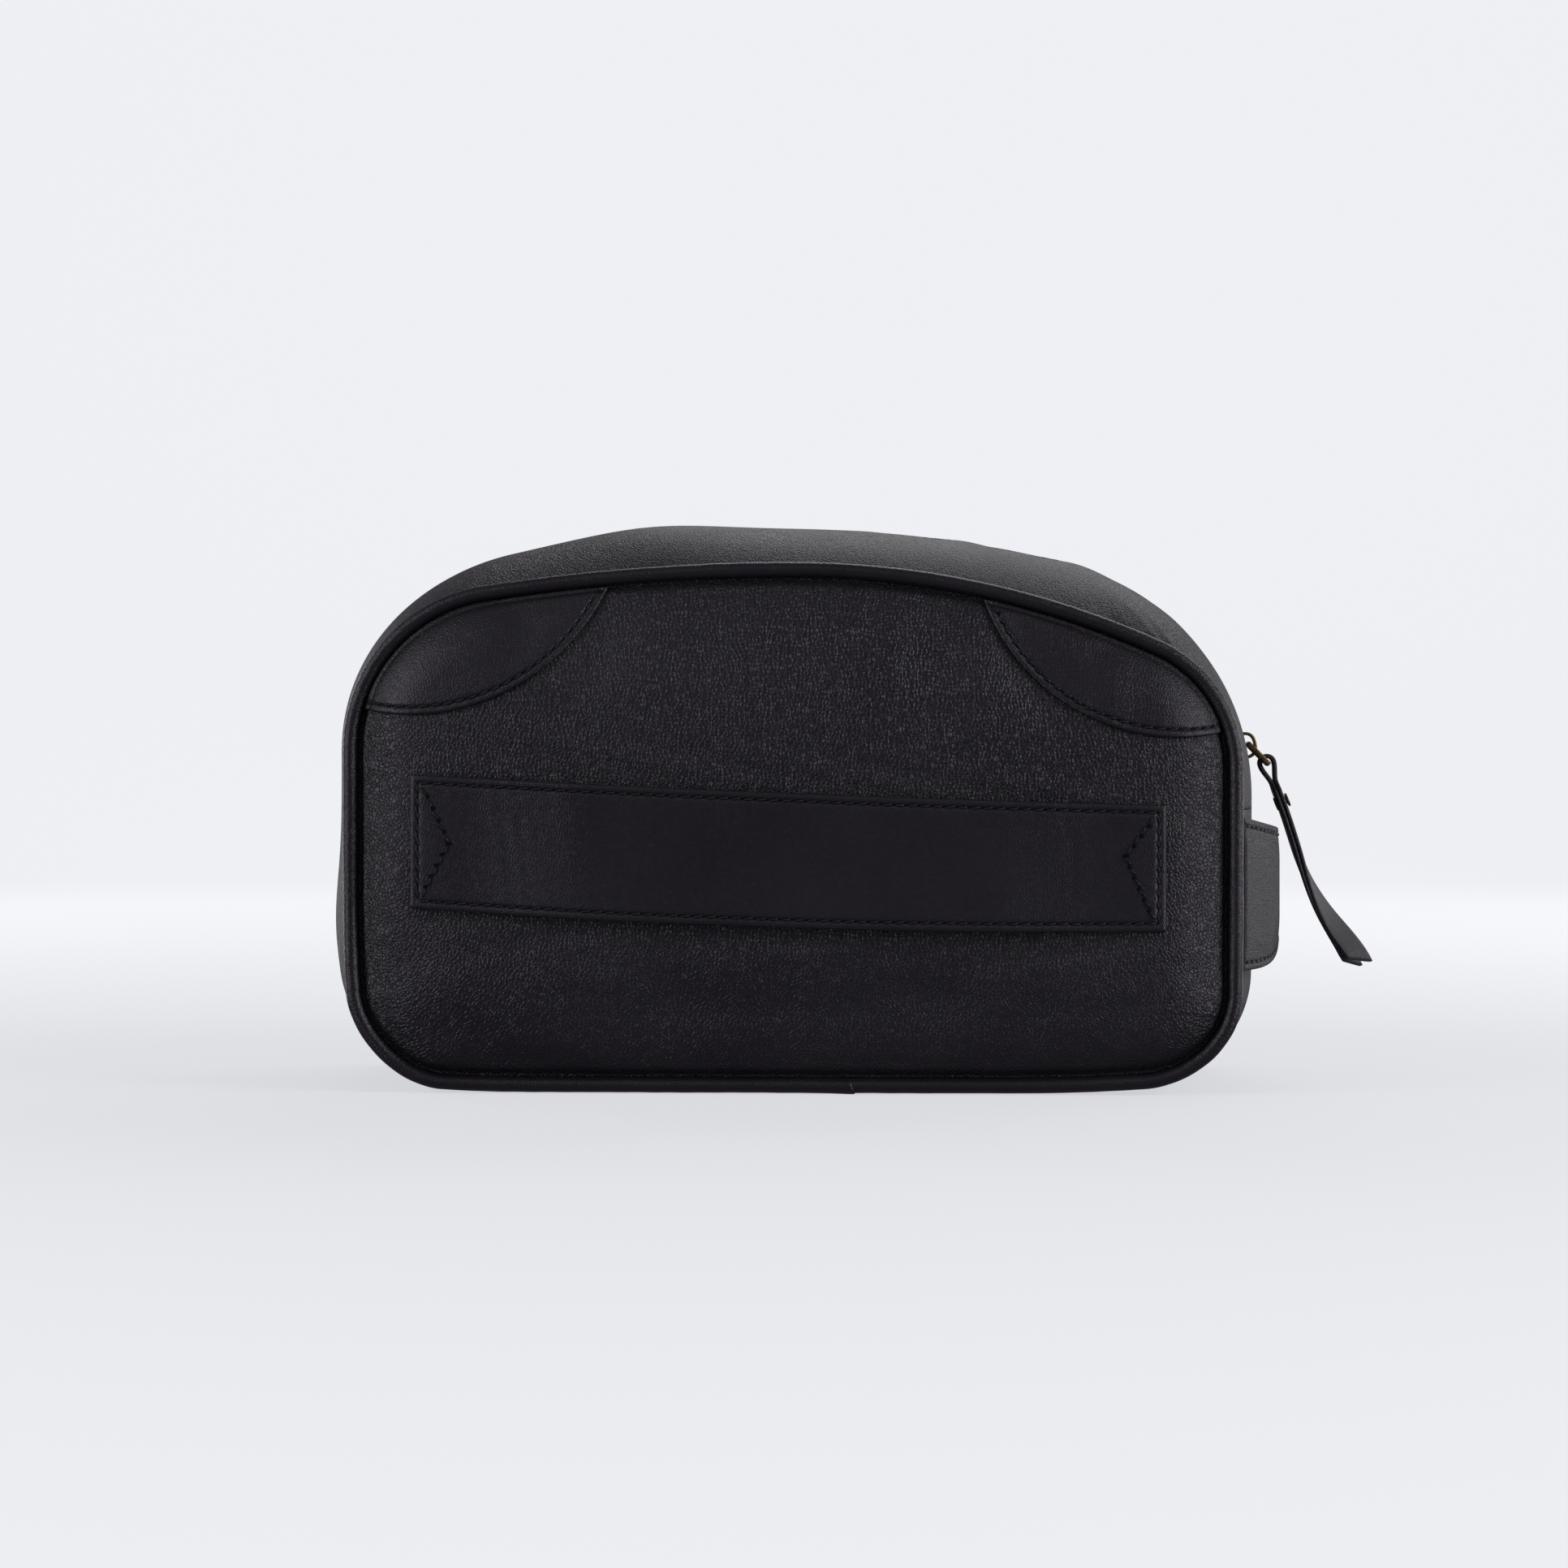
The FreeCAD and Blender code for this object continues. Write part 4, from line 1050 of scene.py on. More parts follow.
# Distances from a seam where the gusset's edge turns in, and how deep and how far it turns.
SEAM_PLACES = np.array([0.0, 0.2, 0.6, 1.2, 2.0])
SEAM_TURN = 1.0
SEAM_REACH = 0.8
SEAM_LIMIT = GUSSET_DEPTH - 0.1
SEAM_FOLD = 0.28
ZIP_SLACK = 0.75
STRIP_STITCHES = 9.6
TAPE_END = 82.8


def zip_end_way(bulge, right, height=ZIP_END):
    """Way at which a side reaches a height: how far that is up the side's straight stretch."""
    left_shoulder, right_shoulder = shoulders(bulge, 0.0)
    low = side_foot(bulge, 0.0)
    top = (right_shoulder if right else left_shoulder)[4]
    part = (height - low) / (top - low)
    return 2.0 + part if right else 8.0 - part


def base_ends(bulge):
    """Where a band under the bag starts and ends: at the zip's end on the left and on the right."""
    return zip_end_way(bulge, False), zip_end_way(bulge, True) + 9.0


def top_ends(bulge, height=ZIP_END):
    """Where a band over the top starts and ends: at a height on the right and on the left."""
    return zip_end_way(bulge, True, height), zip_end_way(bulge, False, height)


def tape_ends(bulge):
    """Where the zip's tapes start and end."""
    return top_ends(bulge, TAPE_END)


def gathers(way, depth):
    """Short soft folds of the gusset square to its seams where the seams turn, and slack folds beside the
    zip over the right shoulder."""
    turning = 0.0 * way
    for middle, reach, fade in ((3.6, 0.9, 0.7), (6.4, 0.9, 0.7), (1.5, 0.7, 0.5), (8.5, 0.7, 0.5)):
        turning = turning + smooth((reach - np.abs(way - middle)) / fade)
    near = np.exp(-(GUSSET_DEPTH - np.abs(depth)) / 6.0)
    fold = SEAM_FOLD * turning * near * ripple(way * 46.0, 71, 6)
    slack = smooth((way - 3.3) / 0.5) * smooth((4.85 - way) / 0.5)
    # The zip itself keeps its curve, so that the slider runs on it.
    slack = slack * bump(np.abs(depth), 15.0, 9.0) * smooth((np.abs(depth) - 5.0) / 4.0)
    return fold + slack * (ZIP_SLACK * ripple(way * 21.0 + np.abs(depth) * 0.10, 72) - 0.25)


def gusset_sweep(ends, rows, profile, inset=0.0):
    """A band that follows the D: profile points are (depth, height above the leather's face), the D is
    read at each depth's bulge, and ends gives the ways where the band starts and ends."""
    depth, height = np.array(profile, float).T
    bulge = bulge_at(depth)
    first, last = ends(bulge)
    even = even_ways(rows, float(first.mean()), float(last.mean()), 0.5)
    share = (even - first.mean()) / (last - first).mean()
    way = first[None] + share[:, None] * (last - first)[None]
    rise = height[None] + gathers(np.mod(way, 9.0), depth[None])
    points, normals = outline(way, bulge[None] + 0.0 * way, inset)
    points = points + normals * rise[..., None]
    return np.stack([points[..., 0], depth[None] + 0.0 * way, points[..., 1]], axis=-1)


def lined_profile(depths, heights, thickness):
    """A closed profile: out along the face and back along the underside."""
    top = np.stack([depths, heights], axis=1)
    under = np.stack([depths, heights - thickness], axis=1)[::-1]
    return np.concatenate([top, under])


def make_base_gusset():
    """The band under the bag and up both sides to the zip's ends, with its lining."""
    flat = np.linspace(3.2 - SEAM_LIMIT, SEAM_LIMIT - 3.2, 46)
    depths = np.concatenate([SEAM_PLACES - SEAM_LIMIT, flat, SEAM_LIMIT - SEAM_PLACES[::-1]])
    heights = -SEAM_TURN * np.exp(-(SEAM_LIMIT - np.abs(depths)) / SEAM_REACH)
    sections = gusset_sweep(base_ends, 300, lined_profile(depths, heights, LEATHER - 0.1))
    band = add_mesh("base_gusset_leather", tube(sections), material("gusset"))
    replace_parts(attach(band, "bag"), "base_gusset")

    depths = np.linspace(-LINING_DEPTH, LINING_DEPTH, 40)
    profile = lined_profile(depths, 0.0 * depths, LINING - 0.1)
    sections = gusset_sweep(base_ends, 160, profile, LEATHER + TAPE + 0.05)
    cloth = add_mesh("base_lining_cloth", tube(sections), material("lining"))
    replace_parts(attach(cloth, "bag"), "base_lining")


def strip_profile():
    """Depths and heights across a zip strip, from the seam to the slot. The leather dips into its seam,
    and at the slot it is turned under: a low roll, with the stitches in a groove behind it."""
    edge = ZIP_SLOT + 0.1
    roll = (12.0, 11.0, 10.4, 9.9, STRIP_STITCHES, 9.3, 8.8, 8.2, 7.5, 7.0, 6.6, 6.3, 6.12, edge)
    depths = np.concatenate([SEAM_LIMIT - SEAM_PLACES, np.linspace(SEAM_LIMIT - 3.2, 13.0, 22), roll])
    heights = -SEAM_TURN * np.exp(-(SEAM_LIMIT - depths) / SEAM_REACH)
    heights = heights + 0.3 * bump(depths, 7.7, 1.0) - 0.45 * bump(depths, STRIP_STITCHES, 0.45)
    return depths, heights - 0.75 * bump(depths, edge, 0.22)


def make_zip_strip(side):
    """The strip that joins the zip to one panel, its lining and its row of stitches."""
    sign = SIGN[side]
    depths, heights = strip_profile()
    thickness = np.where(depths < 7.2, LEATHER - 0.55, LEATHER - 0.1)
    sections = gusset_sweep(top_ends, 330, lined_profile(sign * depths, heights, thickness))
    strip = add_mesh(side + "_zip_strip_leather", tube(sections), material("gusset"))
    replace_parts(bend_with_lip(strip), side + "_zip_strip")
    column = int(np.argmin(np.abs(depths - STRIP_STITCHES)))
    beside = sections[:, column + 1] - sections[:, column - 1]
    line = sections[:, column]
    outward = sign * unit(np.cross(np.gradient(line, axis=0), beside))
    outward *= np.sign((outward * (line - np.array([0.0, 0.0, ZIP_END]))).sum(1).mean())
    row = stitch_row(line + outward * 0.15, outward, margin=2.0)
    stitches = add_stitches(side + "_strip_stitches", [row])
    bend_with_lip(stitches)

    depths = np.linspace(LINING_DEPTH, ZIP_SLOT + 7.4, 24)
    profile = lined_profile(sign * depths, 0.0 * depths, LINING - 0.1)
    sections = gusset_sweep(top_ends, 200, profile, LEATHER + TAPE + 0.05)
    cloth = add_mesh(side + "_strip_lining_cloth", tube(sections), material("lining"))
    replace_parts(bend_with_lip(cloth), side + "_strip_lining")


# ------------------------ zip

TOOTH_PITCH = 3.0
TOOTH_INSET = LEATHER + 0.5 * TAPE
TOOTH_HALF = ((0.7, -2.9), (0.66, -1.7), (0.5, -0.9), (0.68, -0.2), (0.42, 0.5))
TOOTH_LEVELS = ((-1.15, 0.82), (-0.9, 1.0), (0.9, 1.0), (1.15, 0.82))
ROW_END = 90.0


def tooth_shape():
    """One tooth: a ten-sided outline with a neck and a head, the same on both sides, through its height.
    Axes are along the zip, across it and outwards."""
    half = np.array(TOOTH_HALF)
    ring = np.concatenate([half * (-1.0, 1.0), half[::-1]])
    middle = ring.mean(0)
    sections = [np.column_stack([middle + (ring - middle) * share, np.full(len(ring), height)])
                for height, share in TOOTH_LEVELS]
    return tube(np.array(sections))


def make_zip(side):
    """One tape and its row of teeth. The rows are half a step apart, so that they mesh."""
    sign = SIGN[side]
    depths = np.array([13.0, 11.0, 9.0, 7.0, 5.0, 3.9, 3.4, 3.05])
    heights = np.array([0.0] * 6 + [0.28, 0.3])
    thickness = np.array([TAPE] * 6 + [TAPE + 0.5] * 2) - 0.05
    profile = lined_profile(sign * depths, heights, thickness)
    sections = gusset_sweep(tape_ends, 260, profile, LEATHER)
    tape = add_mesh(side + "_zip_tape_weave", tube(sections), material("tape"))
    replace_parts(bend_with_lip(tape), side + "_zip_tape", "zip_end_tapes")

    first, last = top_ends(np.array([1.0]), ROW_END)
    way = np.linspace(first[0], last[0], 4000)
    line, normal = outline(way, 1.0, TOOTH_INSET)
    line = line + normal * gathers(way, np.array(2.0))[:, None]
    count = int(running_length(line)[-1] / TOOTH_PITCH)
    places = (np.arange(count) + (0.25 if side == "front" else 0.75)) * TOOTH_PITCH
    found = along_line(np.concatenate([line, normal], axis=1), places)
    outward = unit(np.stack([found[:, 2], 0.0 * places, found[:, 3]], axis=1))
    across = np.tile([0.0, -sign, 0.0], (count, 1))
    along = np.cross(across, outward)
    middle = np.stack([found[:, 0], 0.0 * places, found[:, 1]], axis=1)
    teeth = repeated(tooth_shape(), middle, np.stack([along, across, outward], axis=1))
    row = add_mesh(side + "_zip_teeth_row", teeth, material("teeth"))
    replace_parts(bend_with_lip(row), side + "_zip_teeth", "zip_end_teeth")


BAIL_LEAN = math.radians(12.3)
BAIL_LENGTH = 8.4
BAIL_WIDTH = 2.2
BAIL_HEIGHT = 4.0
BAIL_BAR = 1.0
BAIL_SQUARENESS = 2.6


def soft_copy(node, bevel, paint, body):
    """A packed metal part with its edges rounded: its triangles are merged and bevelled."""
    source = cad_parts[node]
    thing = bpy.data.objects.new(node + "_finished", source.data.copy())
    bpy.context.scene.collection.objects.link(thing)
    work = bmesh.new()
    work.from_mesh(thing.data)
    bmesh.ops.remove_doubles(work, verts=work.verts, dist=1e-6)
    bmesh.ops.dissolve_limit(work, angle_limit=math.radians(1.0), verts=work.verts, edges=work.edges)
    work.to_mesh(thing.data)
    work.free()
    thing.data.materials.clear()
    thing.data.materials.append(material(paint))
    edge = thing.modifiers.new("round_edges", "BEVEL")
    edge.width = bevel * MM
    edge.segments = 3
    edge.limit_method = "ANGLE"
    edge.angle_limit = math.radians(35.0)
    edge.use_clamp_overlap = True
    thing.data.shade_smooth()
    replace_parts(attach(thing, body), node)


def make_bail():
    """The slider's bail: a bar bent in an arch over the puller's hinge. Its middle line is half of a
    rounded square, |u|^s + |v|^s = 1 at squareness s, with u along the zip and v outwards, and a rounded
    section is carried along it."""
    low, high = node_box("slider_bail")
    out = np.array([math.cos(BAIL_LEAN), 0.0, math.sin(BAIL_LEAN)])
    up = np.array([-math.sin(BAIL_LEAN), 0.0, math.cos(BAIL_LEAN)])
    foot = 0.5 * (low + high) - out * 0.5 * BAIL_HEIGHT
    angle = np.linspace(0.0, math.pi, 33)
    power = 2.0 / BAIL_SQUARENESS
    u = np.sign(np.cos(angle)) * np.abs(np.cos(angle)) ** power * 0.5 * (BAIL_LENGTH - BAIL_BAR)
    v = np.sin(angle) ** power * (BAIL_HEIGHT - 0.5 * BAIL_BAR)
    line = foot + up * u[:, None] + out * v[:, None]
    tangent = unit(np.gradient(line, axis=0))
    across = np.array([0.0, 1.0, 0.0])
    through = unit(np.cross(tangent, across))
    section = rounded_section(BAIL_WIDTH, BAIL_BAR, 0.35)
    points = line[:, None] + across * section[None, :, :1] + through[:, None] * section[None, :, 1:]
    bail = add_mesh("slider_bail_arch", tube(points), material("slider"))
    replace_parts(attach(bail, "slider"), "slider_bail")


# ------------------------ leather pull

PULL_LINE = np.array([(146.29, 98.8), (148.1, 92.6), (150.75, 86.6), (153.0, 80.8), (154.9, 73.3),
                      (157.0, 66.6), (160.6, 58.8), (166.0, 49.3), (170.6, 42.3), (174.2, 37.0)])
PULL_TWIST = math.radians(42.0)
PULL_TWIST_PARTS = math.radians(13.0)
PULL_PARTS = 0.75
PULL_SLANT = 2.4
PULL_NECK = 4.8
PULL_WIDTH = 10.0
PULL_LAYER = 1.4
EYE_RADIUS = 2.25


def pull_line(distance):
    """Points and headings down the middle of the pull. A fifth-degree curve follows the line's points by
    length, and above the eye the line goes on straight."""
    run = running_length(PULL_LINE)
    fits = [np.polyfit(run, column, 5) for column in PULL_LINE.T]
    inside = np.maximum(distance, 0.0)
    point = np.stack([np.polyval(fit, inside) for fit in fits], axis=-1)
    heading = unit(np.stack([np.polyval(np.polyder(fit), inside) for fit in fits], axis=-1))
    point = point + heading * np.minimum(distance, 0.0)[..., None]
    place = np.stack([point[..., 0], 0.0 * distance, point[..., 1]], axis=-1)
    return place, np.stack([heading[..., 0], 0.0 * distance, heading[..., 1]], axis=-1)


def make_pull():
    """A leather strip folded round the puller's bar. Its middle line runs up one leg, round the bar in
    half a circle and down the other leg. The legs lie on each other, twist towards their ends and part
    there. A section is carried along it: width across, thickness square to the line."""
    length = running_length(PULL_LINE)[-1]
    leg = np.concatenate([np.linspace(length, 9.0, 60), np.linspace(8.5, 0.4, 20)])
    turn = np.linspace(0.0, math.pi, 17)
    along = np.concatenate([leg, -EYE_RADIUS * np.sin(turn), leg[::-1]])
    gap = 0.5 * PULL_LAYER + 0.03 + (EYE_RADIUS - 0.5 * PULL_LAYER) * (1.0 - smooth(leg / 7.0))
    parting = PULL_PARTS * smooth((leg - length + 16.0) / 16.0)
    height = np.concatenate([gap + parting, EYE_RADIUS * np.cos(turn), -(gap + parting)[::-1]])
    inner = np.concatenate([np.zeros(len(leg) + len(turn)), np.ones(len(leg))])
    place, heading = pull_line(along)
    depth = np.array([0.0, 1.0, 0.0])
    out = np.cross(heading, depth)
    out = out * np.sign(out[:, :1])
    twist = (PULL_TWIST - PULL_TWIST_PARTS * inner) * smooth((along - 26.0) / 40.0)
    across = depth * np.cos(twist)[:, None] + out * np.sin(twist)[:, None]
    facing = out * np.cos(twist)[:, None] - depth * np.sin(twist)[:, None]
    middle = place + facing * height[:, None]
    tangent = unit(np.gradient(middle, axis=0))
    through = unit(np.cross(tangent, across))
    width = PULL_NECK + (PULL_WIDTH - PULL_NECK) * smooth((along - 5.5) / 4.0)
    width = width + 0.18 * ripple(along * 0.35, 81)
    section = rounded_section(1.0, 1.0, 0.2)[None]
    a = section[..., 0] * width[:, None]
    b = section[..., 1] * PULL_LAYER + 0.1 * np.cos(section[..., 0] * 2.0)
    shear = PULL_SLANT * smooth((along - length + 9.0) / 9.0)[:, None] * a / (0.5 * PULL_WIDTH)
    sections = (middle[:, None] + across[:, None] * a[..., None] + through[:, None] * b[..., None]
                + heading[:, None] * shear[..., None])
    strip = add_mesh("leather_pull_strip", tube(sections), material("pull"))
    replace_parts(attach(strip, "pull"), "leather_pull")


# ------------------------ hand strap

# An edge of the strap: its height at the left end, how far it falls to the right end, and its sag.
STRAP_ENDS = (-113.4, 111.4)
STRAP_LOW = (56.0, 6.6, 2.2)
STRAP_HIGH = (95.9, 9.0, 0.9)
STRAP_LAYER = 1.5
STRAP_FOOT = 14.0
STRAP_RAMP = 40.0
STRAP_GAP = 5.15
STRAP_POINTS = ((-101.7, 75.1), (99.3, 72.0))
STRAP_GROOVE = (-0.5, -0.22, 0.0, 0.22, 0.5, 1.0, 1.8)


def strap_edges(x):
    """Lowest and highest point of the strap at x: straight from end to end, less a parabola of sag."""
    share = (x - STRAP_ENDS[0]) / (STRAP_ENDS[1] - STRAP_ENDS[0])
    sag = 4.0 * share * (1.0 - share)
    wider = 0.5 * (millimetres(sizes().strap_width) - STRAP_WIDTH)
    low, high = (start - fall * share - most * sag for start, fall, most in (STRAP_LOW, STRAP_HIGH))
    return low - wider, high + wider


def strap_base(x, z):
    """How far the strap's back stands out: on the panel at its feet, then a smooth ramp up to the gap."""
    near = np.minimum(x - STRAP_ENDS[0], STRAP_ENDS[1] - x)
    raised = smooth((near - STRAP_FOOT) / STRAP_RAMP)
    on_panel = panel_out(x, z, "front") + 0.05
    sway = 0.35 * ripple(x * 0.06, 91) + 0.1 * ripple(x * 0.22 + z * 0.05, 92)
    return on_panel * (1.0 - raised) + (PILLOW + STRAP_GAP + sway) * raised


def strap_relief(x, z):
    """Height of the strap's outer face over a flat layer: its sewn edge, creases and a lower border."""
    low, high = strap_edges(x)
    away = np.minimum(np.minimum(z - low, high - z), np.minimum(x - STRAP_ENDS[0], STRAP_ENDS[1] - x))
    away = np.maximum(away, 0.0)
    crease = 0.07 * ripple(x * 0.9 + z * 0.12, 93, 6) * bump(np.abs(x), 84.0, 12.0)
    return sewn_edge(away) + crease - 0.12 * smooth((4.5 - away) / 4.5)


def edged(length, count, inset):
    """Places across a length, crowded at both ends where the edge and the groove are."""
    close = near_edge(inset, STRAP_GROOVE)
    middle = np.linspace(close[-1], length - close[-1], count + 2)[1:-1]
    return np.concatenate([close, middle, length - close[::-1]])


def make_hand_strap():
    """Two layers of leather sewn together and to the panel's face, and their stitches."""
    inset = millimetres(sizes().stitch_inset)
    span = STRAP_ENDS[1] - STRAP_ENDS[0]
    x = STRAP_ENDS[0] + edged(span, 150, inset)
    across = edged(millimetres(sizes().strap_width), 18, inset)
    low, high = strap_edges(x)
    z = low[:, None] + (high - low)[:, None] * (across / across[-1])[None]
    x = np.repeat(x[:, None], z.shape[1], axis=1)
    base = strap_base(x, z)
    for name, node, first in (("hand_strap_back_layer", "hand_strap_backing", 0.0),
                              ("hand_strap_face_layer", "hand_strap", STRAP_LAYER)):
        relief = strap_relief(x, z) if first else 0.0
        top = panel_point(x, z, base + first + STRAP_LAYER - 0.03 + relief, "front")
        layer = add_slab(name, top, panel_point(x, z, base + first, "front"), "strap")
        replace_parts(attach(layer, "bag"), node)

    def face(points):
        px, pz = np.array(points, float).T
        out = strap_base(px, pz) + 2.0 * STRAP_LAYER + 0.1
        return panel_point(px, pz, out + np.minimum(strap_relief(px, pz), 0.0), "front")

    ends = np.array(STRAP_ENDS) + np.array([inset, -inset])
    edge = np.linspace(ends[0], ends[1], 300)
    low, high = strap_edges(edge)
    lines = [np.column_stack([edge, low + inset]), np.column_stack([edge, high - inset])]
    for end, apex in zip(ends, STRAP_POINTS):
        low, high = strap_edges(end)
        low, high = low + inset, high - inset
        lines.append(np.column_stack([np.full(40, end), np.linspace(low, high, 40)]))
        step = math.copysign(1.0, apex[0] - end)
        for start in ((end + step, low + 0.8), (end + step, high - 0.8)):
            lines.append(np.linspace(start, apex, 30))
    rows = [stitch_row(face(line), np.tile([0.0, -1.0, 0.0], (len(line), 1))) for line in lines]
    stitches = add_stitches("hand_strap_stitches", rows)
    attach(stitches, "bag")


# ------------------------ side handle

# The circle's centre and radius, and for each edge its height at the seams and how far it moves mid-depth.
HANDLE_ARC = (46.1, 103.9)
HANDLE_LOW = (37.0, 6.0)
HANDLE_HIGH = (83.0, -4.0)
HANDLE_LAYER = 1.5
HANDLE_END = 52.5
HANDLE_WIDTH = 42.0


def handle_edges(depth):
    """Lowest and highest point of the handle at a depth. Its bottom rises in a rounded ridge at
    mid-depth, and its top sinks by a parabola."""
    low = HANDLE_LOW[0] + HANDLE_LOW[1] * bump(depth, 0.0, 22.0)
    return low, HANDLE_HIGH[0] + HANDLE_HIGH[1] * (1.0 - (depth / HANDLE_END) ** 2)


def handle_point(depth, z, inward):
    """A point of the handle: on a circle about an upright axis, moved inwards along its radius."""
    centre, radius = HANDLE_ARC
    turn = np.arcsin(depth / radius)
    arm = radius - inward
    return np.stack([centre + arm * np.cos(turn), arm * np.sin(turn), z], axis=-1)


def make_side_handle():
    """Two layers of leather in an arc between the seams of the right side, and their stitches."""
    inset = millimetres(sizes().stitch_inset)
    depth = np.linspace(-HANDLE_END, HANDLE_END, 90)
    across = edged(HANDLE_WIDTH, 18, inset) / HANDLE_WIDTH
    low, high = handle_edges(depth)
    z = low[:, None] + (high - low)[:, None] * across[None]
    y = np.repeat(depth[:, None], z.shape[1], axis=1)
    away = np.minimum(z - low[:, None], high[:, None] - z)
    relief = sewn_edge(away) - 0.5 * smooth((10.0 - away) / 10.0) + 0.12 * ripple(y * 0.15 + z * 0.04, 95)
    for name, node, first in (("side_handle_face_layer", "side_handle", 0.0),
                              ("side_handle_back_layer", "side_handle_backing", HANDLE_LAYER)):
        height = 0.0 if first else relief
        top = handle_point(y, z, first - height + 0.02)
        layer = add_slab(name, top, handle_point(y, z, first + HANDLE_LAYER - 0.02), "handle")
        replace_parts(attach(layer, "bag"), node)
    rows = []
    depth = np.linspace(-HANDLE_END + 1.0, HANDLE_END - 1.0, 200)
    low, high = handle_edges(depth)
    for edge in (low + inset, high - inset):
        outward = unit(handle_point(depth, edge, 0.0) - handle_point(depth, edge, 1.0))
        rows.append(stitch_row(handle_point(depth, edge, 0.5 * HANDLE_LAYER), outward))
    stitches = add_stitches("side_handle_stitches", rows)
    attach(stitches, "bag")


# ------------------------ stage

CAMERA_PLACE = np.array([42.0, -1261.0, 110.0])
CAMERA_AIM = np.array([-2.0, -61.0, 93.0])
CAMERA_LENS = 92.6

# The floor runs from its front to its bend, turns up in a quarter circle, and ends at its top.
FLOOR_FRONT = -4000.0
FLOOR_BEND = 1600.0
FLOOR_RADIUS = 900.0
FLOOR_TOP = 5000.0
FLOOR_HALF = 5000.0

# How strongly the floor glows near the bag and away from it, with both distances in metres.
GLOW = (0.25, 1.3, 0.71, 0.94)
AIR_SEEN = (0.855, 0.863, 0.896, 1.0)
AIR_LIGHT = (0.93, 0.88, 1.0, 1.0)
AIR_STRENGTH = 0.19

# Each light: where it stands, its width and height, and its power in watts. They look at one point.
LIGHTS_AIM = (0.0, 0.0, 80.0)
LIGHTS = {
    "top_light": ((350.0, 950.0, 1000.0), 1300.0, 600.0, 5.0),
    "left_light": ((-1150.0, -750.0, 350.0), 700.0, 1200.0, 9.0),
    "right_light": ((1200.0, -600.0, 350.0), 700.0, 1200.0, 12.0),
    "left_rim_light": ((-1150.0, 850.0, 250.0), 400.0, 900.0, 4.0),
    "right_rim_light": ((1150.0, 850.0, 250.0), 400.0, 900.0, 3.5),
    "front_light": ((-350.0, -1400.0, 1200.0), 1300.0, 800.0, 1.3),
}


def add_aimed(name, data, place, aim):
    """A light or the camera at a place, looking at a point."""
    thing = bpy.data.objects.new(name, data)
    bpy.context.scene.collection.objects.link(thing)
    thing.location = Vector(place) * MM
    thing.rotation_euler = (Vector(aim) - Vector(place)).to_track_quat("-Z", "Y").to_euler()
    return thing


def add_light(name, place, width, height, power):
    """A soft rectangular light."""
    data = bpy.data.lights.new(name, "AREA")
    data.shape = "RECTANGLE"
    data.size, data.size_y = width * MM, height * MM
    data.energy = power
    add_aimed(name, data, place, LIGHTS_AIM)


def make_floor():
    """A pale sweep of floor. Its section is a line, a quarter circle and a line, carried across."""
    turn = np.linspace(0.0, QUARTER, 24)
    y = FLOOR_BEND + FLOOR_RADIUS * np.concatenate([[0.0], np.sin(turn), [1.0]])
    y[0] = FLOOR_FRONT
    z = np.concatenate([[0.0], FLOOR_RADIUS * (1.0 - np.cos(turn)), [FLOOR_TOP]])
    x = np.array([-FLOOR_HALF, FLOOR_HALF])
    points = np.stack(np.broadcast_arrays(x[None], y[:, None], z[:, None]), axis=-1)
    paint = Paint("studio_floor")
    # The sweep glows more away from the bag, where less light falls on it, so that it looks even.
    away = paint.node("VectorMath", {0: paint.place}, operation="LENGTH").outputs["Value"]
    paint.links.new(paint.remap(away, *GLOW), paint.shader.inputs["Emission Strength"])
    paint.set({"Base Color": (*mixed(colours().floor, 0.66, BLACK), 1.0), "Roughness": 0.95,
               "Emission Color": (*colours().floor, 1.0), "Specular IOR Level": 0.0})
    sweep = (points.reshape(-1, 3), [grid_faces(len(y), 2)[:, ::-1]])
    floor = add_mesh("studio_floor", sweep, paint.material, closed=False)
    # The bag is lit by the lights alone, and not by the glow of the floor.
    floor.visible_diffuse = False
    floor.visible_glossy = False


def make_air():
    """The world: plain and pale to the camera, and a dim light to everything else."""
    world = bpy.data.worlds.new("studio_air")
    world.use_nodes = True
    nodes, links = world.node_tree.nodes, world.node_tree.links
    seen = nodes.new("ShaderNodeBackground")
    seen.inputs["Color"].default_value = AIR_SEEN
    dim = nodes["Background"]
    dim.inputs["Color"].default_value = AIR_LIGHT
    dim.inputs["Strength"].default_value = AIR_STRENGTH
    choice = nodes.new("ShaderNodeMixShader")
    links.new(nodes.new("ShaderNodeLightPath").outputs["Is Camera Ray"], choice.inputs[0])
    links.new(dim.outputs[0], choice.inputs[1])
    links.new(seen.outputs[0], choice.inputs[2])
    links.new(choice.outputs[0], nodes["World Output"].inputs["Surface"])
    bpy.context.scene.world = world


def make_stage():
    """The floor, the air, the lights and the camera."""
    make_floor()
    make_air()
    for name, (place, width, height, power) in LIGHTS.items():
        add_light(name, place, width, height, power)
    data = bpy.data.cameras.new("camera")
    data.lens = CAMERA_LENS
    data.sensor_width = 36.0
    data.clip_end = 100.0
    bpy.context.scene.camera = add_aimed("camera", data, CAMERA_PLACE, CAMERA_AIM)
    bpy.context.scene.view_settings.view_transform = "Standard"


# ------------------------ operators


class WASHBAG_OT_panels(bpy.types.Operator):
    """Build the leather, padding and lining of both panels"""

    bl_idname = "washbag.panels"
    bl_label = "Panels"

    def execute(self, context):
        for side in SIGN:
            make_panel(side)
        return {"FINISHED"}


class WASHBAG_OT_patches(bpy.types.Operator):
    """Build the corner patches and their stitches"""

    bl_idname = "washbag.patches"
    bl_label = "Corner Patches"

    def execute(self, context):
        for side in SIGN:
            make_patches(side)
        return {"FINISHED"}


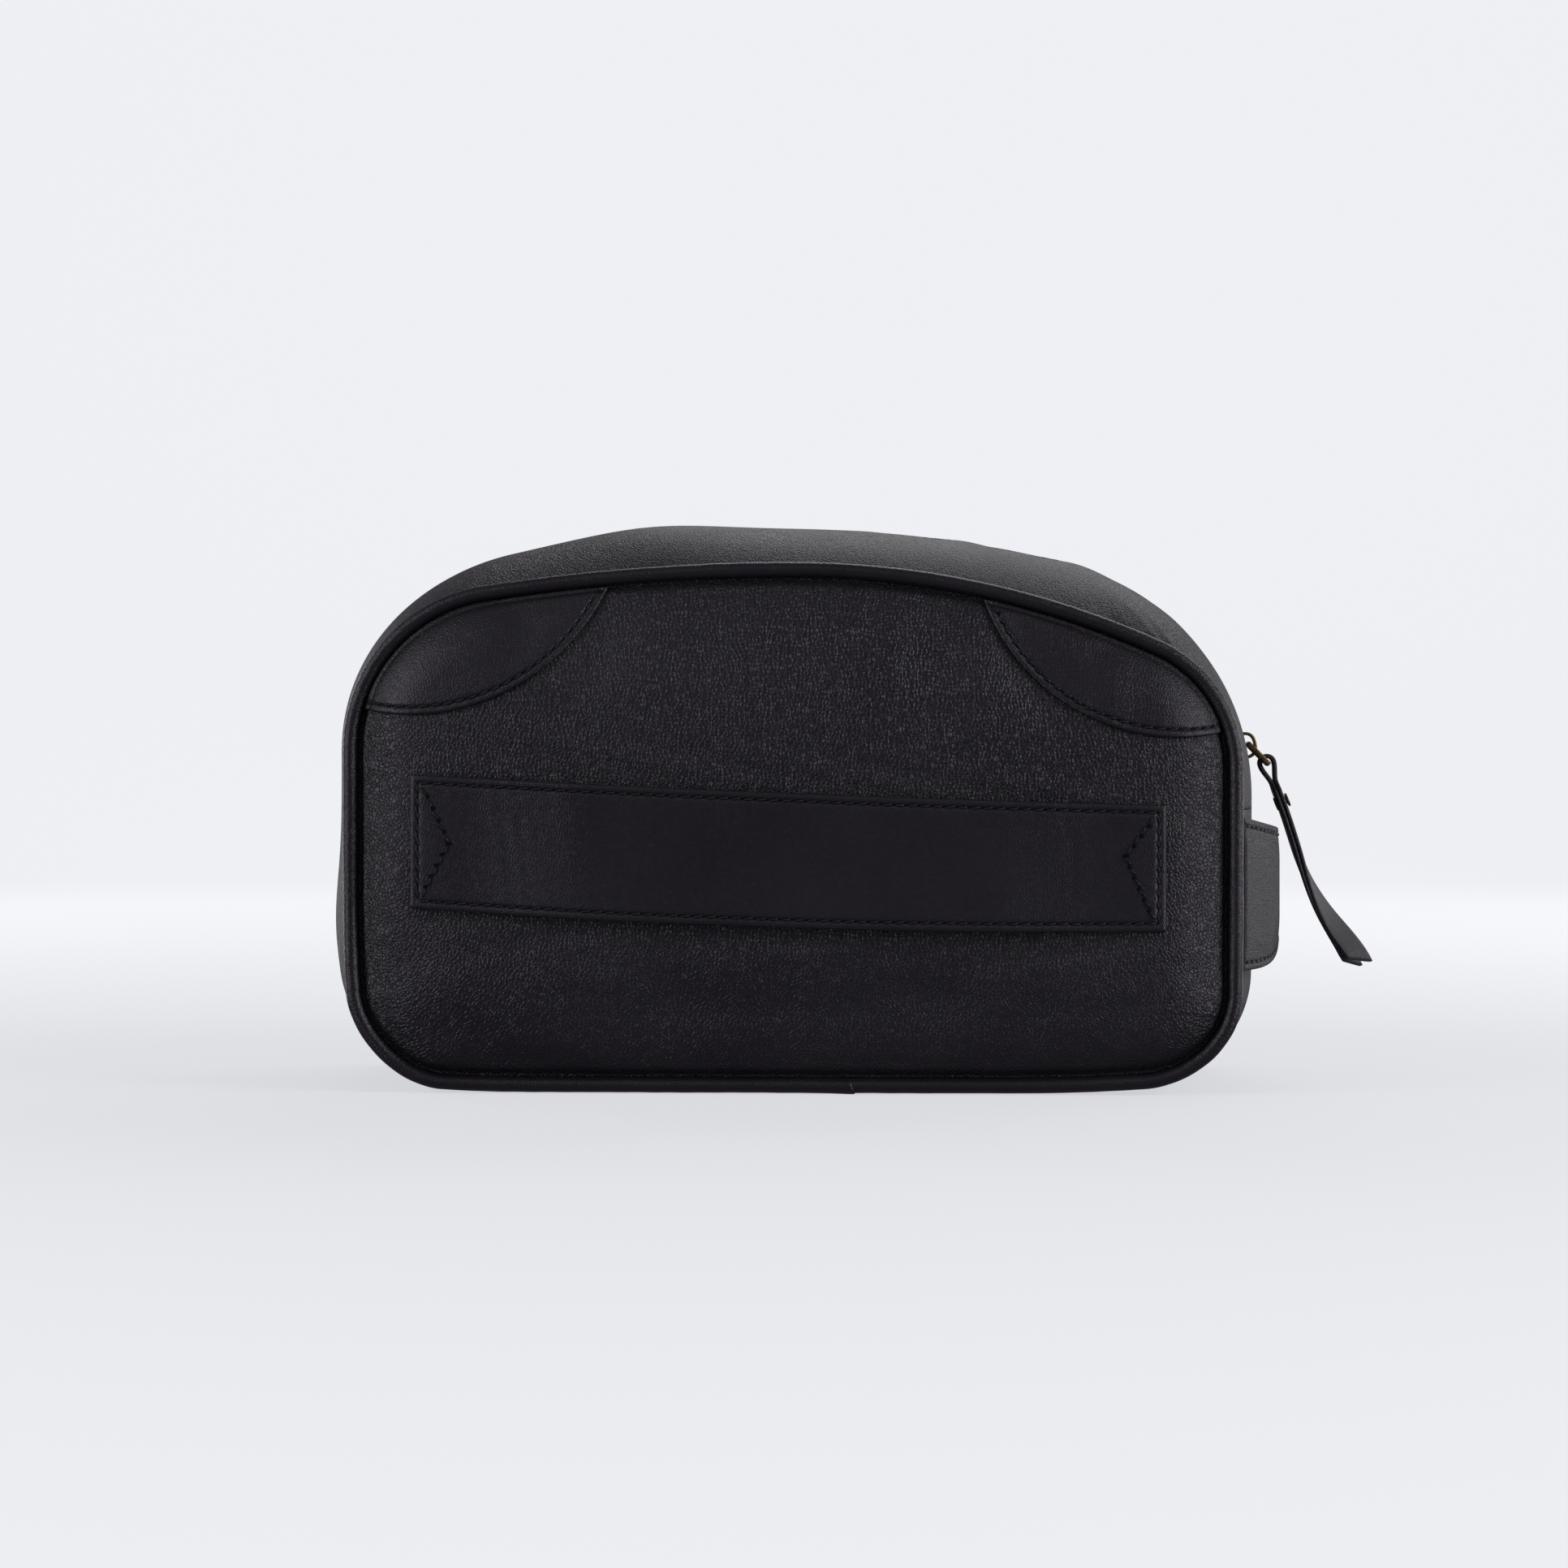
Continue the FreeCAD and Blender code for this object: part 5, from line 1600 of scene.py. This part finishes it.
class WASHBAG_OT_piping(bpy.types.Operator):
    """Build the piping round both panels and the cord in it"""

    bl_idname = "washbag.piping"
    bl_label = "Piping"

    def execute(self, context):
        for side in SIGN:
            make_piping(side)
        return {"FINISHED"}


class WASHBAG_OT_gusset(bpy.types.Operator):
    """Build the gusset, the strips beside the zip and their lining"""

    bl_idname = "washbag.gusset"
    bl_label = "Gusset"

    def execute(self, context):
        make_base_gusset()
        for side in SIGN:
            make_zip_strip(side)
        return {"FINISHED"}


class WASHBAG_OT_zip(bpy.types.Operator):
    """Build the zip's tapes, teeth and end stops"""

    bl_idname = "washbag.zip"
    bl_label = "Zip"

    def execute(self, context):
        for side in SIGN:
            make_zip(side)
        soft_copy("zip_stops", 0.35, "teeth", "bag")
        return {"FINISHED"}


class WASHBAG_OT_slider(bpy.types.Operator):
    """Build the slider, its bail and the puller"""

    bl_idname = "washbag.slider"
    bl_label = "Slider and Puller"

    def execute(self, context):
        soft_copy("slider_body", 0.45, "slider", "slider")
        make_bail()
        soft_copy("puller", 0.35, "slider", "puller")
        return {"FINISHED"}


class WASHBAG_OT_pull(bpy.types.Operator):
    """Build the leather pull and its rivet"""

    bl_idname = "washbag.pull"
    bl_label = "Leather Pull"

    def execute(self, context):
        make_pull()
        soft_copy("pull_rivet", 0.3, "slider", "pull")
        return {"FINISHED"}


class WASHBAG_OT_hand_strap(bpy.types.Operator):
    """Build the hand strap across the front"""

    bl_idname = "washbag.hand_strap"
    bl_label = "Hand Strap"

    def execute(self, context):
        make_hand_strap()
        return {"FINISHED"}


class WASHBAG_OT_side_handle(bpy.types.Operator):
    """Build the handle on the right side"""

    bl_idname = "washbag.side_handle"
    bl_label = "Side Handle"

    def execute(self, context):
        make_side_handle()
        return {"FINISHED"}


class WASHBAG_OT_stage(bpy.types.Operator):
    """Build the floor, the lights and the camera"""

    bl_idname = "washbag.stage"
    bl_label = "Stage"

    def execute(self, context):
        make_stage()
        return {"FINISHED"}


OPERATORS = (
    WASHBAG_OT_stage, WASHBAG_OT_panels, WASHBAG_OT_patches, WASHBAG_OT_piping, WASHBAG_OT_gusset,
    WASHBAG_OT_zip, WASHBAG_OT_slider, WASHBAG_OT_pull, WASHBAG_OT_hand_strap, WASHBAG_OT_side_handle,
)


class WASHBAG_PT_sidebar(bpy.types.Panel):
    """Sizes, colours and pieces of the wash bag"""

    bl_label = "Wash Bag"
    bl_space_type = "VIEW_3D"
    bl_region_type = "UI"
    bl_category = "Wash Bag"

    def draw(self, context):
        for group in (context.scene.wash_bag_sizes, context.scene.wash_bag_colours):
            column = self.layout.column(align=True)
            for label in group.__annotations__:
                column.prop(group, label)
        column = self.layout.column(align=True)
        for operator in OPERATORS:
            column.operator(operator.bl_idname)


CLASSES = (WashBagSizes, WashBagColours, *OPERATORS, WASHBAG_PT_sidebar)


def register():
    """Adds the classes and the scene's sizes and colours."""
    for item in CLASSES:
        bpy.utils.register_class(item)
    bpy.types.Scene.wash_bag_sizes = PointerProperty(type=WashBagSizes)
    bpy.types.Scene.wash_bag_colours = PointerProperty(type=WashBagColours)


def unregister():
    """Takes away what register adds."""
    del bpy.types.Scene.wash_bag_colours
    del bpy.types.Scene.wash_bag_sizes
    for item in reversed(CLASSES):
        bpy.utils.unregister_class(item)


def main():
    """Builds the whole bag on its stage."""
    register()
    for operator in OPERATORS:
        group, name = operator.bl_idname.split(".")
        getattr(getattr(bpy.ops, group), name)()


if __name__ == "__main__":
    main()
